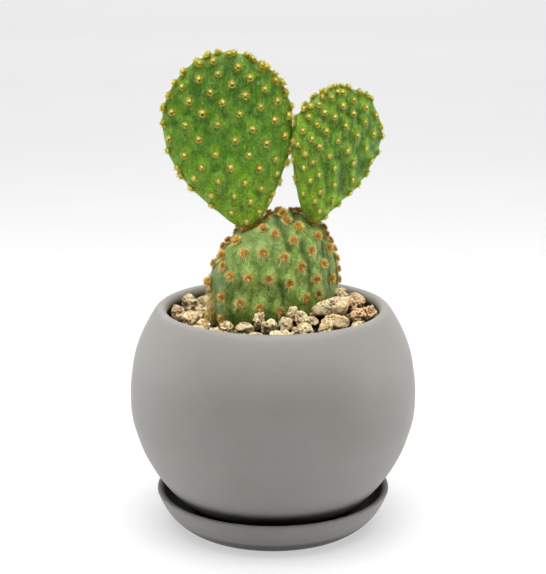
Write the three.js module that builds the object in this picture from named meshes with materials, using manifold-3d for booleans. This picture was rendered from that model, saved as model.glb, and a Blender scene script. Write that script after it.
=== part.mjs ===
// A paddle cactus in a matte grey globe pot with a saucer, topped with coarse tan gravel.
// Millimetres, +Z up. The origin is on the pot's axis, at the level the saucer stands on.
import * as THREE from "three";
import { ConvexGeometry } from "three/addons/geometries/ConvexGeometry.js";
import { mergeVertices } from "three/addons/utils/BufferGeometryUtils.js";
import Module from "manifold-3d";

const wasm = await Module();
wasm.setup();

// ---- driving dimensions -------------------------------------------------
const GAP = 0.3; // between pieces that touch
const POT_SIDES = 48;
const SAUCER_SIDES = 48;
const SOIL_SIDES = 32;

// Pot: globe, 120 across, mouth 89 across, 5 mm wall, open below through a drain hole.
const DRAIN_R = 8;
const POT_FLOOR_TOP = 10.6;
const POT_FLOOR_UNDER = 6.6;
const POT_STAND_Z = 5.1;
const POT_OUTER = [
  [26.2, POT_STAND_Z], [30, POT_STAND_Z], [31.8, 6], [35.4, 8.6], [39.7, 12.1], [43.3, 15.7], [46.8, 19.9],
  [50.9, 25.8], [55.3, 34.1], [58.3, 43], [59.6, 48.6], [60, 54.6], [59.9, 61], [59.1, 67.8], [58, 73.9],
  [56.4, 79.1], [54.3, 84.1], [51.9, 88.6], [50.1, 91.6], [48.9, 93.3], [47.9, 94.2], [46.8, 94.6],
  [45.8, 94.4], [45, 93.8], [44.5, 92.9],
];
const POT_INNER = [
  [44.4, 91.4], [46, 88.9], [48.7, 84.4], [51.3, 79], [53.4, 73], [54.8, 66.5], [55.4, 60], [55.3, 54.4],
  [54.6, 48], [52.8, 41], [49.8, 34], [45.6, 27.6], [40.2, 21.6], [33.8, 16.3], [26, 12.4], [18, POT_FLOOR_TOP + 0.2],
];

// Saucer: 99 across, 15.6 tall, standing on a low foot ring.
const SAUCER_FLOOR_TOP = 4.8;
const FOOT_OUTER_R = 33.4;
const FOOT_INNER_R = 27.8;
const FOOT_RECESS = 1.2;
const SAUCER_PROFILE = [
  [0, FOOT_RECESS], [FOOT_INNER_R - 0.6, FOOT_RECESS], [FOOT_INNER_R, 0], [FOOT_OUTER_R, 0], [35.4, 0.35], [38.9, 1.6],
  [43.3, 4.6], [46.3, 8.2], [48.3, 11.9], [49.3, 14.3], [49.5, 15], [49.1, 15.5], [48.2, 15.65], [47.2, 15.6],
  [46.4, 15.2], [46, 14.4], [45.2, 11.8], [43.5, 8.9], [40.8, 6.6], [36.8, 5.1], [33.5, SAUCER_FLOOR_TOP],
  [0, SAUCER_FLOOR_TOP],
];

// Growing mix: fills the pot. Its top rises a little to the back right and is heaped up round the old stem.
const SOIL_TOP = 85.6;
const SOIL_SLOPE_X = 0.055;
const SOIL_SLOPE_Y = 0.045;
const SOIL_TOP_R = 44.2;
const HEAP = 4.4; // above the plane, where the mix meets the stem
const HEAP_SLOPE_X = 0.13; // more of it to the right
const STEM_HALF = [27, 15]; // the stem's half width and half thickness where it leaves the mix

// Stem segments. Each outline is in the segment's own plane, as [across, up] from its centre,
// and half is its half thickness. turn swings the plane about Z: the left edge comes forward.
const BASE_PAD = {
  centre: [0.4, 2, 106.9], turn: 22, half: 15, round: [0.8, 0.85], rings: 12, steps: 36,
  outline: [
    [27.3, 0], [26.4, 5.6], [24.4, 10.9], [21.9, 15.9], [18.9, 21.5], [14, 25], [8.4, 26.3], [2.7, 26.1], [-2.6, 24.7],
    [-7.4, 22.7], [-12.1, 21], [-16.3, 18.1], [-20, 14.6], [-23.5, 10.5], [-26, 5.5], [-26.9, 0], [-26.8, -5.7],
    [-27.3, -12.2], [-26.4, -19.2], [-23.2, -26], [-19.1, -33], [-12.5, -38.3], [-4.3, -40.7], [4.3, -40.7], [12.5, -38.3],
    [19.1, -33], [23.1, -25.7], [25.5, -18.3], [26.6, -11.7], [27.2, -5.8],
  ],
};
const LARGE_PAD = {
  centre: [-18.3, -2.5, 165.4], turn: 4, half: 6.6, round: [0.88, 0.9], rings: 9, steps: 38,
  outline: [
    [26.1, 0], [26, 5.5], [25.3, 11.3], [23.6, 17.2], [20.8, 23], [16.3, 28], [10.3, 31.8], [3.6, 33.7], [-3.6, 33.7],
    [-10.3, 31.6], [-16.1, 27.9], [-20.6, 22.9], [-23.8, 17.3], [-25.7, 11.4], [-26.3, 5.6], [-25.8, 0], [-24.4, -5.2],
    [-22.6, -10.1], [-20.2, -14.7], [-17, -18.9], [-13.2, -23], [-8.8, -27.1], [-6, -29.6], [-3.1, -32], [0.4, -34.8],
    [4.6, -37.4], [8.1, -39], [11.6, -36.6], [15.7, -28.2], [19.3, -21.6], [21.9, -16], [23.9, -10.6], [25.4, -5.4],
  ],
};
const SMALL_PAD = {
  centre: [25.8, 5, 160.6], turn: 28, half: 6.4, round: [0.88, 0.9], rings: 9, steps: 36,
  outline: [
    [20.9, 0], [21.4, 4.6], [20.8, 9.3], [19.1, 14], [16.2, 18.1], [12.2, 21.2], [7.5, 23.3], [2.5, 24.1], [-2.5, 23.6],
    [-7.1, 21.8], [-11.2, 19.4], [-14.7, 16.3], [-17.4, 12.6], [-19.1, 8.5], [-19.9, 4.2], [-20.1, 0], [-20, -4.3],
    [-19.6, -8.7], [-18.8, -13.6], [-17.9, -19.1], [-16.7, -24.4], [-15.2, -28.4], [-11.4, -31.4], [-6.6, -30],
    [-2.1, -27], [2.5, -23.5], [6.6, -20.7], [10.1, -17.5], [13, -14.4], [15.4, -11.2], [17.7, -7.9], [19.6, -4.2],
  ],
};

// Gravel: centre x, y, z, half sizes along, across and up, turn about Z and tilt, in degrees.
const STONE_MAX_R = 43.9;
const STONE_POINTS = 19;
const STONE_SWELL = 1.12; // the flats between the points sit inside the half sizes
const STONES = [
  [-35.5, 15.5, 90.4, 4.2, 3.8, 5.4, 10, 8],
  [-40.2, 7.2, 88.9, 3.2, 3.2, 4.2, 0, 0],
  [-35.2, -4.6, 89.3, 5.4, 4.2, 4.7, 8, -6],
  [-23.7, -25, 88, 3.4, 3, 3.8, 0, 0],
  [-18.7, -21.2, 89.6, 3.2, 3.2, 3.8, 20, 0],
  [-11, -21.2, 90.2, 4.2, 4, 3.2, 0, 5],
  [-5.8, -18.7, 92.5, 3.1, 2.6, 4, 0, -12],
  [-1.4, -22.4, 91, 4.2, 4.2, 3.9, 30, 0],
  [5.3, -19.8, 91.6, 3.1, 3, 3.4, 0, 0],
  [2.9, -33.6, 89.3, 4.9, 3.6, 4.2, 0, 4],
  [12.1, -27.4, 90.4, 4.4, 3.8, 3.9, 0, 0],
  [8, -14.8, 94.4, 2.8, 2.6, 3.6, 0, 0],
  [11.6, -18.4, 93.1, 3.2, 3, 4.2, 0, 0],
  [24.2, -8.4, 95.5, 8.8, 3.9, 4.7, 18, 6],
  [21.2, -25.2, 90.6, 3.2, 3, 3.8, 0, 0],
  [25.4, -17, 91.6, 6.2, 4.2, 3.5, 6, 0],
  [34.8, -8.6, 92, 4.7, 4.2, 3.4, 0, 0],
  [34.5, 10.6, 93.2, 5, 4.4, 3.3, 0, 0],
  [41, 2.6, 91.4, 2.3, 2.6, 2.7, 0, 0],
  [30.1, 25, 92.8, 2.6, 2.5, 3.1, 0, 0],
  [7.2, 30.6, 93.7, 5.8, 5.9, 4.8, 114.8, -11.3],
  [-12.2, -36.3, 87.6, 5.6, 5.9, 4.3, 44.9, 10.6],
  [-31.8, -21.2, 86.6, 5.7, 5.8, 3.9, 70.3, 13],
  [-21.8, 31.6, 90.8, 5.2, 6.2, 4.3, 44.8, -6.1],
  [-10.2, 23.1, 91.4, 5.7, 5.4, 4.3, 128.5, 14.4],
  [21.1, 32.3, 93.5, 5.8, 5.1, 4.2, 85, -7.4],
  [-3.9, 32.2, 92.2, 6.4, 4.6, 3.6, 63.7, -9.6],
  [-27.8, 10.1, 88.6, 6, 4.8, 3.6, 32.1, -5.5],
  [11.7, -36.8, 88.2, 4.6, 5.7, 3.8, 69.3, -0.2],
  [-19.6, 16.2, 90.2, 5.7, 4.6, 3.7, 164.3, 10.7],
  [-28.4, 23.1, 89.8, 5.3, 4.7, 3.7, 161.9, 2.5],
  [20.8, 24.6, 93, 4.5, 5, 3.4, 144.9, 6.3],
  [31, 1.7, 93.4, 5.4, 4.5, 3.9, 121.2, 3.8],
  [29, 18, 93.5, 5.3, 4.4, 3.4, 107.9, 12.1],
  [-12.9, 37.1, 90.2, 5.7, 4.1, 3, 154.9, -11.3],
  [-0.4, 24.2, 92.1, 5.3, 4.2, 3.8, 155.3, -14.8],
  [-21.9, -32.6, 87.1, 4, 5.6, 3.7, 111.9, -3],
  [20.7, -33, 88.6, 3.9, 5.6, 3, 6.8, -12.1],
  [35.2, -17.7, 88.9, 4.1, 5.3, 3.1, 177.7, -0.4],
  [-29.2, -11.2, 87.7, 4, 4.8, 3.4, 167, -14.2],
  [15.6, -14.6, 91, 3.6, 3.2, 2.4, 99.4, 4.6],
  [2.4, 39.6, 90.9, 4.1, 4.7, 2.7, 98.4, -8],
  [-2.8, -39.7, 86.8, 4.9, 3.6, 2.7, 165.7, -1.8],
  [-37.6, -13.2, 86.6, 4.1, 4.3, 3.1, 167.4, 4.5],
  [-7, -28.2, 88.1, 4.5, 3.7, 2.7, 78.5, 11],
  [29, -26.9, 88, 4.2, 3.8, 2.7, 126, -8.3],
  [40, -3.1, 91.5, 4.1, 3.7, 3.1, 25.4, -11.9],
  [13.6, 37.8, 92, 4.1, 3.6, 2.9, 105.3, 1.7],
  [-19.5, 22.5, 89.6, 4.4, 3.3, 2.5, 111.4, -5.2],
  [4.9, -26.3, 87.8, 3.4, 4.2, 2.7, 123.5, -3.8],
  [-30.2, -0.4, 89.1, 3.2, 3.2, 2.9, 37, 1.9],
  [-34.3, 3.8, 87.5, 3.6, 3.8, 2.4, 168.9, -9.2],
  [35.7, 18.8, 92.4, 3.8, 3.6, 2.8, 142.9, 8.2],
  [10.8, 24.6, 92.3, 3.1, 3.6, 2.7, 42.7, -5.8],
];

// ---- helpers --------------------------------------------------------------
function lathe(profile, sides) {
  const g = new THREE.LatheGeometry(profile.map(([r, z]) => new THREE.Vector2(r, z)), sides);
  g.rotateX(Math.PI / 2); // the lathe turns about Y, the object's axis is Z
  return g;
}

function solid(geometry) {
  const g = geometry.clone();
  g.deleteAttribute("normal");
  g.deleteAttribute("uv");
  const m = mergeVertices(g, 1e-4);
  // rings of a lathe shrink to one point on the axis: the faces that collapse there are dropped
  const idx = [];
  for (let i = 0; i < m.index.count; i += 3) {
    const [a, b, c] = [m.index.getX(i), m.index.getX(i + 1), m.index.getX(i + 2)];
    if (a !== b && b !== c && a !== c) idx.push(a, b, c);
  }
  return new wasm.Manifold(
    new wasm.Mesh({ numProp: 3, vertProperties: m.attributes.position.array, triVerts: new Uint32Array(idx) }),
  );
}

function geometryOf(manifold) {
  const m = manifold.getMesh();
  const p = new Float32Array(m.numVert * 3);
  for (let i = 0; i < m.numVert; i++) p.set(m.vertProperties.subarray(i * m.numProp, i * m.numProp + 3), i * 3);
  const g = new THREE.BufferGeometry();
  g.setAttribute("position", new THREE.BufferAttribute(p, 3));
  g.setIndex(new THREE.BufferAttribute(new Uint32Array(m.triVerts), 1));
  g.computeVertexNormals();
  return g;
}

// A rounded pad: the outline drawn in towards the centre while the surface swells to the half thickness.
function padGeometry(pad, grow = 0) {
  const curve = new THREE.CatmullRomCurve3(
    pad.outline.map(([x, z]) => new THREE.Vector3(x, 0, z)), true, "catmullrom", 0.5,
  );
  const rim = [];
  for (let i = 0; i < pad.steps; i++) {
    const p = curve.getPoint(i / pad.steps);
    rim.push(p.clone().add(p.clone().normalize().multiplyScalar(grow)));
  }
  const [e1, e2] = pad.round;
  const pos = [];
  const half = pad.half + grow;
  for (let j = 1; j < pad.rings; j++) {
    const s = -Math.PI / 2 + (Math.PI * j) / pad.rings;
    const rho = Math.cos(s) ** e1;
    const h = Math.sign(Math.sin(s)) * Math.abs(Math.sin(s)) ** e2 * half;
    for (const p of rim) pos.push(p.x * rho, h, p.z * rho);
  }
  const front = pos.length / 3;
  pos.push(0, -half, 0);
  const back = pos.length / 3;
  pos.push(0, half, 0);
  const idx = [];
  const n = pad.steps;
  for (let j = 0; j < pad.rings - 2; j++)
    for (let i = 0; i < n; i++) {
      const a = j * n + i, b = j * n + ((i + 1) % n), c = a + n, d = b + n;
      idx.push(a, b, d, a, d, c);
    }
  const last = (pad.rings - 2) * n;
  for (let i = 0; i < n; i++) {
    idx.push(front, (i + 1) % n, i);
    idx.push(back, last + i, last + ((i + 1) % n));
  }
  // the rings run from the front face to the back, so turn the faces to point outwards
  for (let i = 0; i < idx.length; i += 3) [idx[i + 1], idx[i + 2]] = [idx[i + 2], idx[i + 1]];
  const g = new THREE.BufferGeometry();
  g.setAttribute("position", new THREE.Float32BufferAttribute(pos, 3));
  g.setIndex(idx);
  g.rotateZ(THREE.MathUtils.degToRad(pad.turn));
  g.translate(...pad.centre);
  return g;
}

// ---- pot, saucer and growing mix -------------------------------------------
const potProfile = [
  ...POT_OUTER, ...POT_INNER,
  [DRAIN_R, POT_FLOOR_TOP], [DRAIN_R, POT_FLOOR_UNDER], [25.4, POT_FLOOR_UNDER],
];
potProfile.push(potProfile[0]);
const potGeometry = lathe(potProfile, POT_SIDES);
const saucerGeometry = lathe(SAUCER_PROFILE, SAUCER_SIDES);

const WALL_GAP = 0.45;
const soilProfile = [
  [0, POT_FLOOR_TOP + 2.2], [DRAIN_R + 2, POT_FLOOR_TOP + 2.2], [DRAIN_R + 2.8, POT_FLOOR_TOP + 0.7],
  [17.8, POT_FLOOR_TOP + 0.8],
  ...POT_INNER.slice(2, -1).reverse().map(([r, z]) => [r - WALL_GAP, z + WALL_GAP * (z < 50 ? 0.9 : 0)]).filter(([, z]) => z < 80),
  [48.7, 81.6], ...[SOIL_TOP_R, 41, 37.5, 34, 30.5, 27, 23.5, 20, 16, 0].map((r) => [r, SOIL_TOP]),
];
const soilGeometry = lathe(soilProfile, SOIL_SIDES);
function soilHeight(x, y) {
  const a = THREE.MathUtils.degToRad(BASE_PAD.turn);
  const dx = x - BASE_PAD.centre[0], dy = y - BASE_PAD.centre[1];
  const r = Math.hypot(dx, dy) + 1e-9;
  const u = (dx * Math.cos(a) + dy * Math.sin(a)) / r, v = (-dx * Math.sin(a) + dy * Math.cos(a)) / r;
  const stem = 1 / Math.hypot(u / STEM_HALF[0], v / STEM_HALF[1]);
  const w = THREE.MathUtils.clamp((SOIL_TOP_R - r) / (SOIL_TOP_R - stem), 0, 1);
  return SOIL_TOP + SOIL_SLOPE_X * x + SOIL_SLOPE_Y * y + (HEAP + HEAP_SLOPE_X * Math.max(0, x)) * w * w;
}
{
  const p = soilGeometry.attributes.position;
  for (let i = 0; i < p.count; i++)
    if (p.getZ(i) > SOIL_TOP - 0.01) p.setZ(i, soilHeight(p.getX(i), p.getY(i)));
}

// ---- stem segments ---------------------------------------------------------
const basePad = solid(padGeometry(BASE_PAD));
const baseSocket = solid(padGeometry(BASE_PAD, GAP + 0.05));
const soil = solid(soilGeometry).subtract(baseSocket);
const largePad = solid(padGeometry(LARGE_PAD)).subtract(baseSocket);
const smallPad = solid(padGeometry(SMALL_PAD)).subtract(baseSocket);

// ---- gravel ------------------------------------------------------------------
const basePoints = (() => {
  const p = padGeometry({ ...BASE_PAD, steps: 160, rings: 48 }).attributes.position;
  return Array.from({ length: p.count }, (_, i) => new THREE.Vector3().fromBufferAttribute(p, i));
})();

function unitPoints(n, seed) {
  const out = [];
  const golden = Math.PI * (3 - Math.sqrt(5));
  for (let i = 0; i < n; i++) {
    const w = (k) => {
      const s = Math.sin((i + 1) * 12.9898 + seed * 78.233 + k * 37.719) * 43758.5453;
      return s - Math.floor(s) - 0.5;
    };
    const z = 1 - (2 * i + 1) / n;
    const r = Math.sqrt(1 - z * z);
    const a = i * golden + seed * 1.7;
    const v = new THREE.Vector3(Math.cos(a) * r + w(1) * 0.34, Math.sin(a) * r + w(2) * 0.34, z + w(3) * 0.3);
    out.push(v.normalize().multiplyScalar(STONE_SWELL + w(4) * 0.16));
  }
  return out;
}

// Flat cuts that keep a stone clear of its neighbours, of the old stem and of the growing mix.
function cuts(k) {
  const [x, y, z] = STONES[k];
  const c = new THREE.Vector3(x, y, z);
  const planes = [];
  const reach = (row, dir) => {
    const [, , , a, b, h, turn] = row;
    const t = THREE.MathUtils.degToRad(turn);
    const u = dir.x * Math.cos(t) + dir.y * Math.sin(t);
    const v = -dir.x * Math.sin(t) + dir.y * Math.cos(t);
    return Math.sqrt((u * a) ** 2 + (v * b) ** 2 + (dir.z * h) ** 2);
  };
  STONES.forEach((row, j) => {
    if (j === k) return;
    const q = new THREE.Vector3(row[0], row[1], row[2]);
    const dir = q.clone().sub(c);
    const dist = dir.length();
    dir.normalize();
    const mine = reach(STONES[k], dir), theirs = reach(row, dir);
    if (dist > (mine + theirs) * 1.25 + 1) return;
    planes.push([dir, dir.dot(c) + (dist * mine) / (mine + theirs) - GAP / 2 - 0.02]);
  });
  // the old stem stands upright through the gravel, so the cut against it is a vertical plane
  const beside = basePoints.filter((p) => Math.abs(p.z - z) < 9);
  const flat = (p) => (p.x - x) ** 2 + (p.y - y) ** 2;
  let near = beside[0];
  for (const p of beside) if (flat(p) < flat(near)) near = p;
  const out = new THREE.Vector3(near.x - x, near.y - y, 0).normalize();
  planes.push([out, Math.min(...beside.map((p) => p.dot(out))) - GAP - 0.05]);
  // the bed under it, as a plane through the height at its centre, lifted clear of any hump around
  const [, , , a, b] = STONES[k];
  const wide = Math.max(a, b) * STONE_SWELL;
  const z0 = soilHeight(x, y);
  const gx = (soilHeight(x + 1, y) - soilHeight(x - 1, y)) / 2, gy = (soilHeight(x, y + 1) - soilHeight(x, y - 1)) / 2;
  let hump = 0;
  for (let i = 0; i < 16; i++)
    for (const q of [0.35, 0.7, 1]) {
      const dx = Math.cos((i * Math.PI) / 8) * wide * q, dy = Math.sin((i * Math.PI) / 8) * wide * q;
      hump = Math.max(hump, soilHeight(x + dx, y + dy) - z0 - gx * dx - gy * dy);
    }
  const down = new THREE.Vector3(gx, gy, -1);
  const len = down.length();
  planes.push([down.normalize(), (gx * x + gy * y - z0 - hump - GAP - 0.1) / len]);
  return [c, planes];
}

function stoneGeometry(k) {
  const [c, planes] = cuts(k);
  const [, , , a, b, h, turn, tilt] = STONES[k];
  const spin = new THREE.Euler(THREE.MathUtils.degToRad(tilt * 0.6), THREE.MathUtils.degToRad(-tilt), THREE.MathUtils.degToRad(turn), "ZYX");
  const pts = unitPoints(STONE_POINTS, k + 1).map((v) => {
    const d = new THREE.Vector3(v.x * a, v.y * b, v.z * h).applyEuler(spin);
    let t = 1;
    for (const [n, offset] of planes) {
      const room = offset - n.dot(c), go = n.dot(d);
      if (room <= 0) throw new Error("stone " + (k + 1) + " has its centre past a cut");
      if (go > room) t = Math.min(t, room / go);
    }
    // stay inside the mouth
    for (let i = 0; i < 40; i++) {
      if (Math.hypot(c.x + d.x * t, c.y + d.y * t) <= STONE_MAX_R) break;
      t *= 0.97;
    }
    return d.multiplyScalar(t);
  });
  const g = new ConvexGeometry(pts);
  return g;
}

// ---- materials ----------------------------------------------------------------
const mat = (color, roughness) => new THREE.MeshStandardMaterial({ color, roughness, metalness: 0 });
const CLAY = mat(0xa3a29d, 0.86);
const CLAY_DISH = mat(0x979691, 0.86);
const MIX = mat(0x5a4536, 0.95);
const OLD_STEM = mat(0x6d9560, 0.6);
const NEW_STEM = mat(0x568c2f, 0.5);
const NEW_STEM_BACK = mat(0x4a8440, 0.5);

// ---- assembly -------------------------------------------------------------------
const root = new THREE.Group();
const add = (parent, name, geometry, material) => {
  const mesh = new THREE.Mesh(geometry, material);
  mesh.name = name;
  parent.add(mesh);
  return mesh;
};

const pottery = new THREE.Group();
add(pottery, "saucer", geometryOf(solid(saucerGeometry)), CLAY_DISH);
add(pottery, "pot", geometryOf(solid(potGeometry)), CLAY);
add(pottery, "growing_mix", geometryOf(soil), MIX);
root.add(pottery);

const plant = new THREE.Group();
add(plant, "base_pad", geometryOf(basePad), OLD_STEM);
add(plant, "large_pad", geometryOf(largePad), NEW_STEM);
add(plant, "small_pad", geometryOf(smallPad), NEW_STEM_BACK);
root.add(plant);

const gravel = new THREE.Group();
STONES.forEach((row, k) => {
  const tone = new THREE.Color().setHSL(0.085 + 0.012 * Math.sin(k * 2.3), 0.42 + 0.06 * Math.sin(k * 1.1), 0.66 + 0.06 * Math.sin(k * 3.7));
  const stone = add(gravel, "stone_" + String(k + 1).padStart(2, "0"), stoneGeometry(k), mat(tone, 0.92));
  stone.position.set(row[0], row[1], row[2]);
});
root.add(gravel);

export default root;
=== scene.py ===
# A paddle cactus in a matte grey globe pot with a saucer, topped with coarse porous gravel.
# Tables are in millimetres, meshes in metres, +Z up, the pot's axis on Z.
import math

import bpy
import numpy as np
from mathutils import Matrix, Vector
from mathutils.bvhtree import BVHTree


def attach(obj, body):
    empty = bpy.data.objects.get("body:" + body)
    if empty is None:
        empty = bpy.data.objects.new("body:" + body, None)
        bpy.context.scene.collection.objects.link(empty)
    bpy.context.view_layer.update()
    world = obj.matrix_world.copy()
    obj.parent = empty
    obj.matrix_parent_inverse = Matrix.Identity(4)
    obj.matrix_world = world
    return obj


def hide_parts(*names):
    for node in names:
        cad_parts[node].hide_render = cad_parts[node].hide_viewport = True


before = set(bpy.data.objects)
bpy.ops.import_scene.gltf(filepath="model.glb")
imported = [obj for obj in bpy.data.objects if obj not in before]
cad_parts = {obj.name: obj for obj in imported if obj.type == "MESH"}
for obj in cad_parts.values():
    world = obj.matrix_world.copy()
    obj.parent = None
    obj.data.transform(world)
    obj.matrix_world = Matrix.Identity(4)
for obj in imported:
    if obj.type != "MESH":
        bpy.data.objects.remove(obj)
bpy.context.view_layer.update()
MM = 0.001
TAU = 2 * math.pi

# ---- measured tables ---------------------------------------------------------
POT_OUTER = [
    (26.2, 5.1), (30, 5.1), (31.8, 6), (35.4, 8.6), (39.7, 12.1), (43.3, 15.7), (46.8, 19.9), (50.9, 25.8),
    (55.3, 34.1), (58.3, 43), (59.6, 48.6), (60, 54.6), (59.9, 61), (59.1, 67.8), (58, 73.9), (56.4, 79.1),
    (54.3, 84.1), (51.9, 88.6), (50.1, 91.6), (48.9, 93.3), (47.9, 94.2), (46.8, 94.6), (45.8, 94.4), (45, 93.8),
    (44.5, 92.9),
]
POT_INNER = [
    (44.4, 91.4), (46, 88.9), (48.7, 84.4), (51.3, 79), (53.4, 73), (54.8, 66.5), (55.4, 60), (55.3, 54.4),
    (54.6, 48), (52.8, 41), (49.8, 34), (45.6, 27.6), (40.2, 21.6), (33.8, 16.3), (26, 12.4), (18, 10.8),
]
SAUCER_SIDE = [
    (33.4, 0), (35.8, 0.12), (39, 0.95), (43.3, 4.4), (46.3, 8.2), (48.3, 11.9), (49.3, 14.3), (49.5, 15),
    (49.2, 15.5), (48.5, 15.65), (47.8, 15.6), (47.1, 15.2), (46.7, 14.4), (45.8, 11.8), (44, 8.9), (41.1, 6.6),
    (36.8, 5.1), (33.5, 4.8),
]
BASE_PAD = dict(
    centre=(0.4, 2, 106.9), turn=22, half=15, round=(0.8, 0.85),
    outline=[
        (27.3, 0), (26.4, 5.6), (24.4, 10.9), (21.9, 15.9), (18.9, 21.5), (14, 25), (8.4, 26.3), (2.7, 26.1),
        (-2.6, 24.7), (-7.4, 22.7), (-12.1, 21), (-16.3, 18.1), (-20, 14.6), (-23.5, 10.5), (-26, 5.5), (-26.9, 0),
        (-26.8, -5.7), (-27.3, -12.2), (-26.4, -19.2), (-23.2, -26), (-19.1, -33), (-12.5, -38.3), (-4.3, -40.7),
        (4.3, -40.7), (12.5, -38.3), (19.1, -33), (23.1, -25.7), (25.5, -18.3), (26.6, -11.7), (27.2, -5.8),
    ],
)
LARGE_PAD = dict(
    centre=(-18.3, -2.5, 165.4), turn=4, half=6.6, round=(0.88, 0.9),
    outline=[
        (26.5, 0), (26.5, 5.5), (25.8, 11.3), (24, 17.2), (21.1, 23.1), (16.3, 28), (10.3, 31.8), (3.6, 33.7),
        (-3.6, 33.7), (-10.3, 31.6), (-16.1, 27.9), (-20.6, 22.9), (-23.8, 17.3), (-25.7, 11.4), (-26.3, 5.6),
        (-25.8, 0), (-24.4, -5.2), (-22.6, -10.1), (-20.2, -14.7), (-17, -18.9), (-13.2, -23), (-8.8, -27.1),
        (-6, -29.6), (-3.1, -32), (0.4, -34.8), (4.6, -37.4), (8.1, -39), (11.6, -36.6), (16.7, -28.8),
        (19.7, -21.8), (22, -16), (23.9, -10.6), (25.4, -5.4),
    ],
)
SMALL_PAD = dict(
    centre=(25.8, 5, 160.6), turn=28, half=6.4, round=(0.88, 0.9),
    outline=[
        (20.9, 0), (21.4, 4.6), (20.8, 9.3), (19.1, 14), (16.2, 18.1), (12.2, 21.2), (7.5, 23.3), (2.5, 24.1),
        (-2.5, 23.6), (-7.1, 21.8), (-11.2, 19.4), (-15.2, 16.6), (-18.1, 12.8), (-19.8, 8.5), (-20.6, 4.2),
        (-20.6, 0), (-20.3, -4.3), (-19.7, -8.7), (-18.8, -13.6), (-17.9, -19.1), (-16.4, -23.9), (-14.6, -27.7),
        (-10.9, -31.6), (-6.6, -30.3), (-2.1, -27), (2.5, -23.5), (6.6, -20.7), (10.1, -17.5), (13, -14.4),
        (15.4, -11.2), (17.7, -7.9), (19.6, -4.2),
    ],
)
# Areoles on the side that faces the front, in each pad's own plane: across, up, and out from its middle.
LARGE_AREOLES = [
    (-5.5, 30.8, -2.9), (-11.4, 29.5, -2.2), (-17.4, 26.1, -1.3), (-11.6, 24.2, -4.2), (-3.7, 26.2, -4.5), (1.4, 21.7, -5.4), (-18.3, 20.7, -3.4), (-7.3, 19, -5.5),
    (-15.7, 15.2, -4.9), (-2.3, 15.1, -6.1), (-22.5, 10.7, -3.5), (-10.1, 10.4, -6), (4.1, 28.8, -3.8), (13.3, 27.6, -2.7), (8.9, 24.3, -4.5), (18.8, 22.7, -2.6),
    (14.5, 19.7, -4.6), (7.1, 17.8, -5.7), (19.7, 14.8, -4), (12.8, 12.8, -5.6), (23.8, 9.1, -2.8), (4.4, 10, -6.4), (18.2, 7.4, -5), (-17.2, 5.9, -5.3),
    (-4, 6, -6.5), (-23.3, 0.1, -3.3), (-12, 0, -6.1), (2.6, -0.3, -6.6), (-17.7, -6.2, -4.7), (-5.3, -6, -6.4), (-20.4, -11.9, -2.5), (-10.6, -11.3, -5.5),
    (0.9, -11.2, -6.4), (-14.1, -16.1, -4), (-4.2, -16.7, -5.6), (10, 4.1, -6.2), (22.4, 1.1, -3.8), (15.3, -1.8, -5.6), (8.1, -6.4, -6.3), (18.8, -8.2, -4.5),
    (24.4, -5.1, -2.2), (12.3, -11.9, -5.6), (19.3, -14.6, -3.4), (6.2, -17.5, -5.9), (13.2, -20.2, -4.5), (17.3, -22.7, -2.4), (-7, -22.6, -4.1), (2.3, -23.2, -5.4),
    (8.5, -25.6, -5), (1.2, -30.2, -3.9), (11.9, -30, -3.4), (7.5, -34, -3.6), (-3.6, 33.5, -1), (0.5, 33.2, -1.7), (2.4, 33.3, -1.4), (7.8, 32.5, -1),
    (9.9, 31.4, -1.4), (13.4, 29, -1.9), (15.5, 28, -1.4), (18.7, 25.2, -1.4), (21.3, 21.9, -1.4), (22.9, 18, -1.9), (25.1, 12.5, -1.4), (-7.7, 32.4, -1),
    (-12, 30.2, -1.4), (-20.7, 22, -1.4), (-23, 17.1, -1.9), (-25.1, 12.2, -1.4), (-25.6, 6.2, -1.9), (-23.8, -4.8, -1.9), (-19.2, -15, -1.9), (-15.1, -20.1, -1.9),
    (-13.3, -15.8, -4.3), (-6.8, -27.5, -2.2), (23.2, -10.3, -1.9), (20.2, -18.1, -1.9), (16.4, -25.4, -1.9),
]
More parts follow.
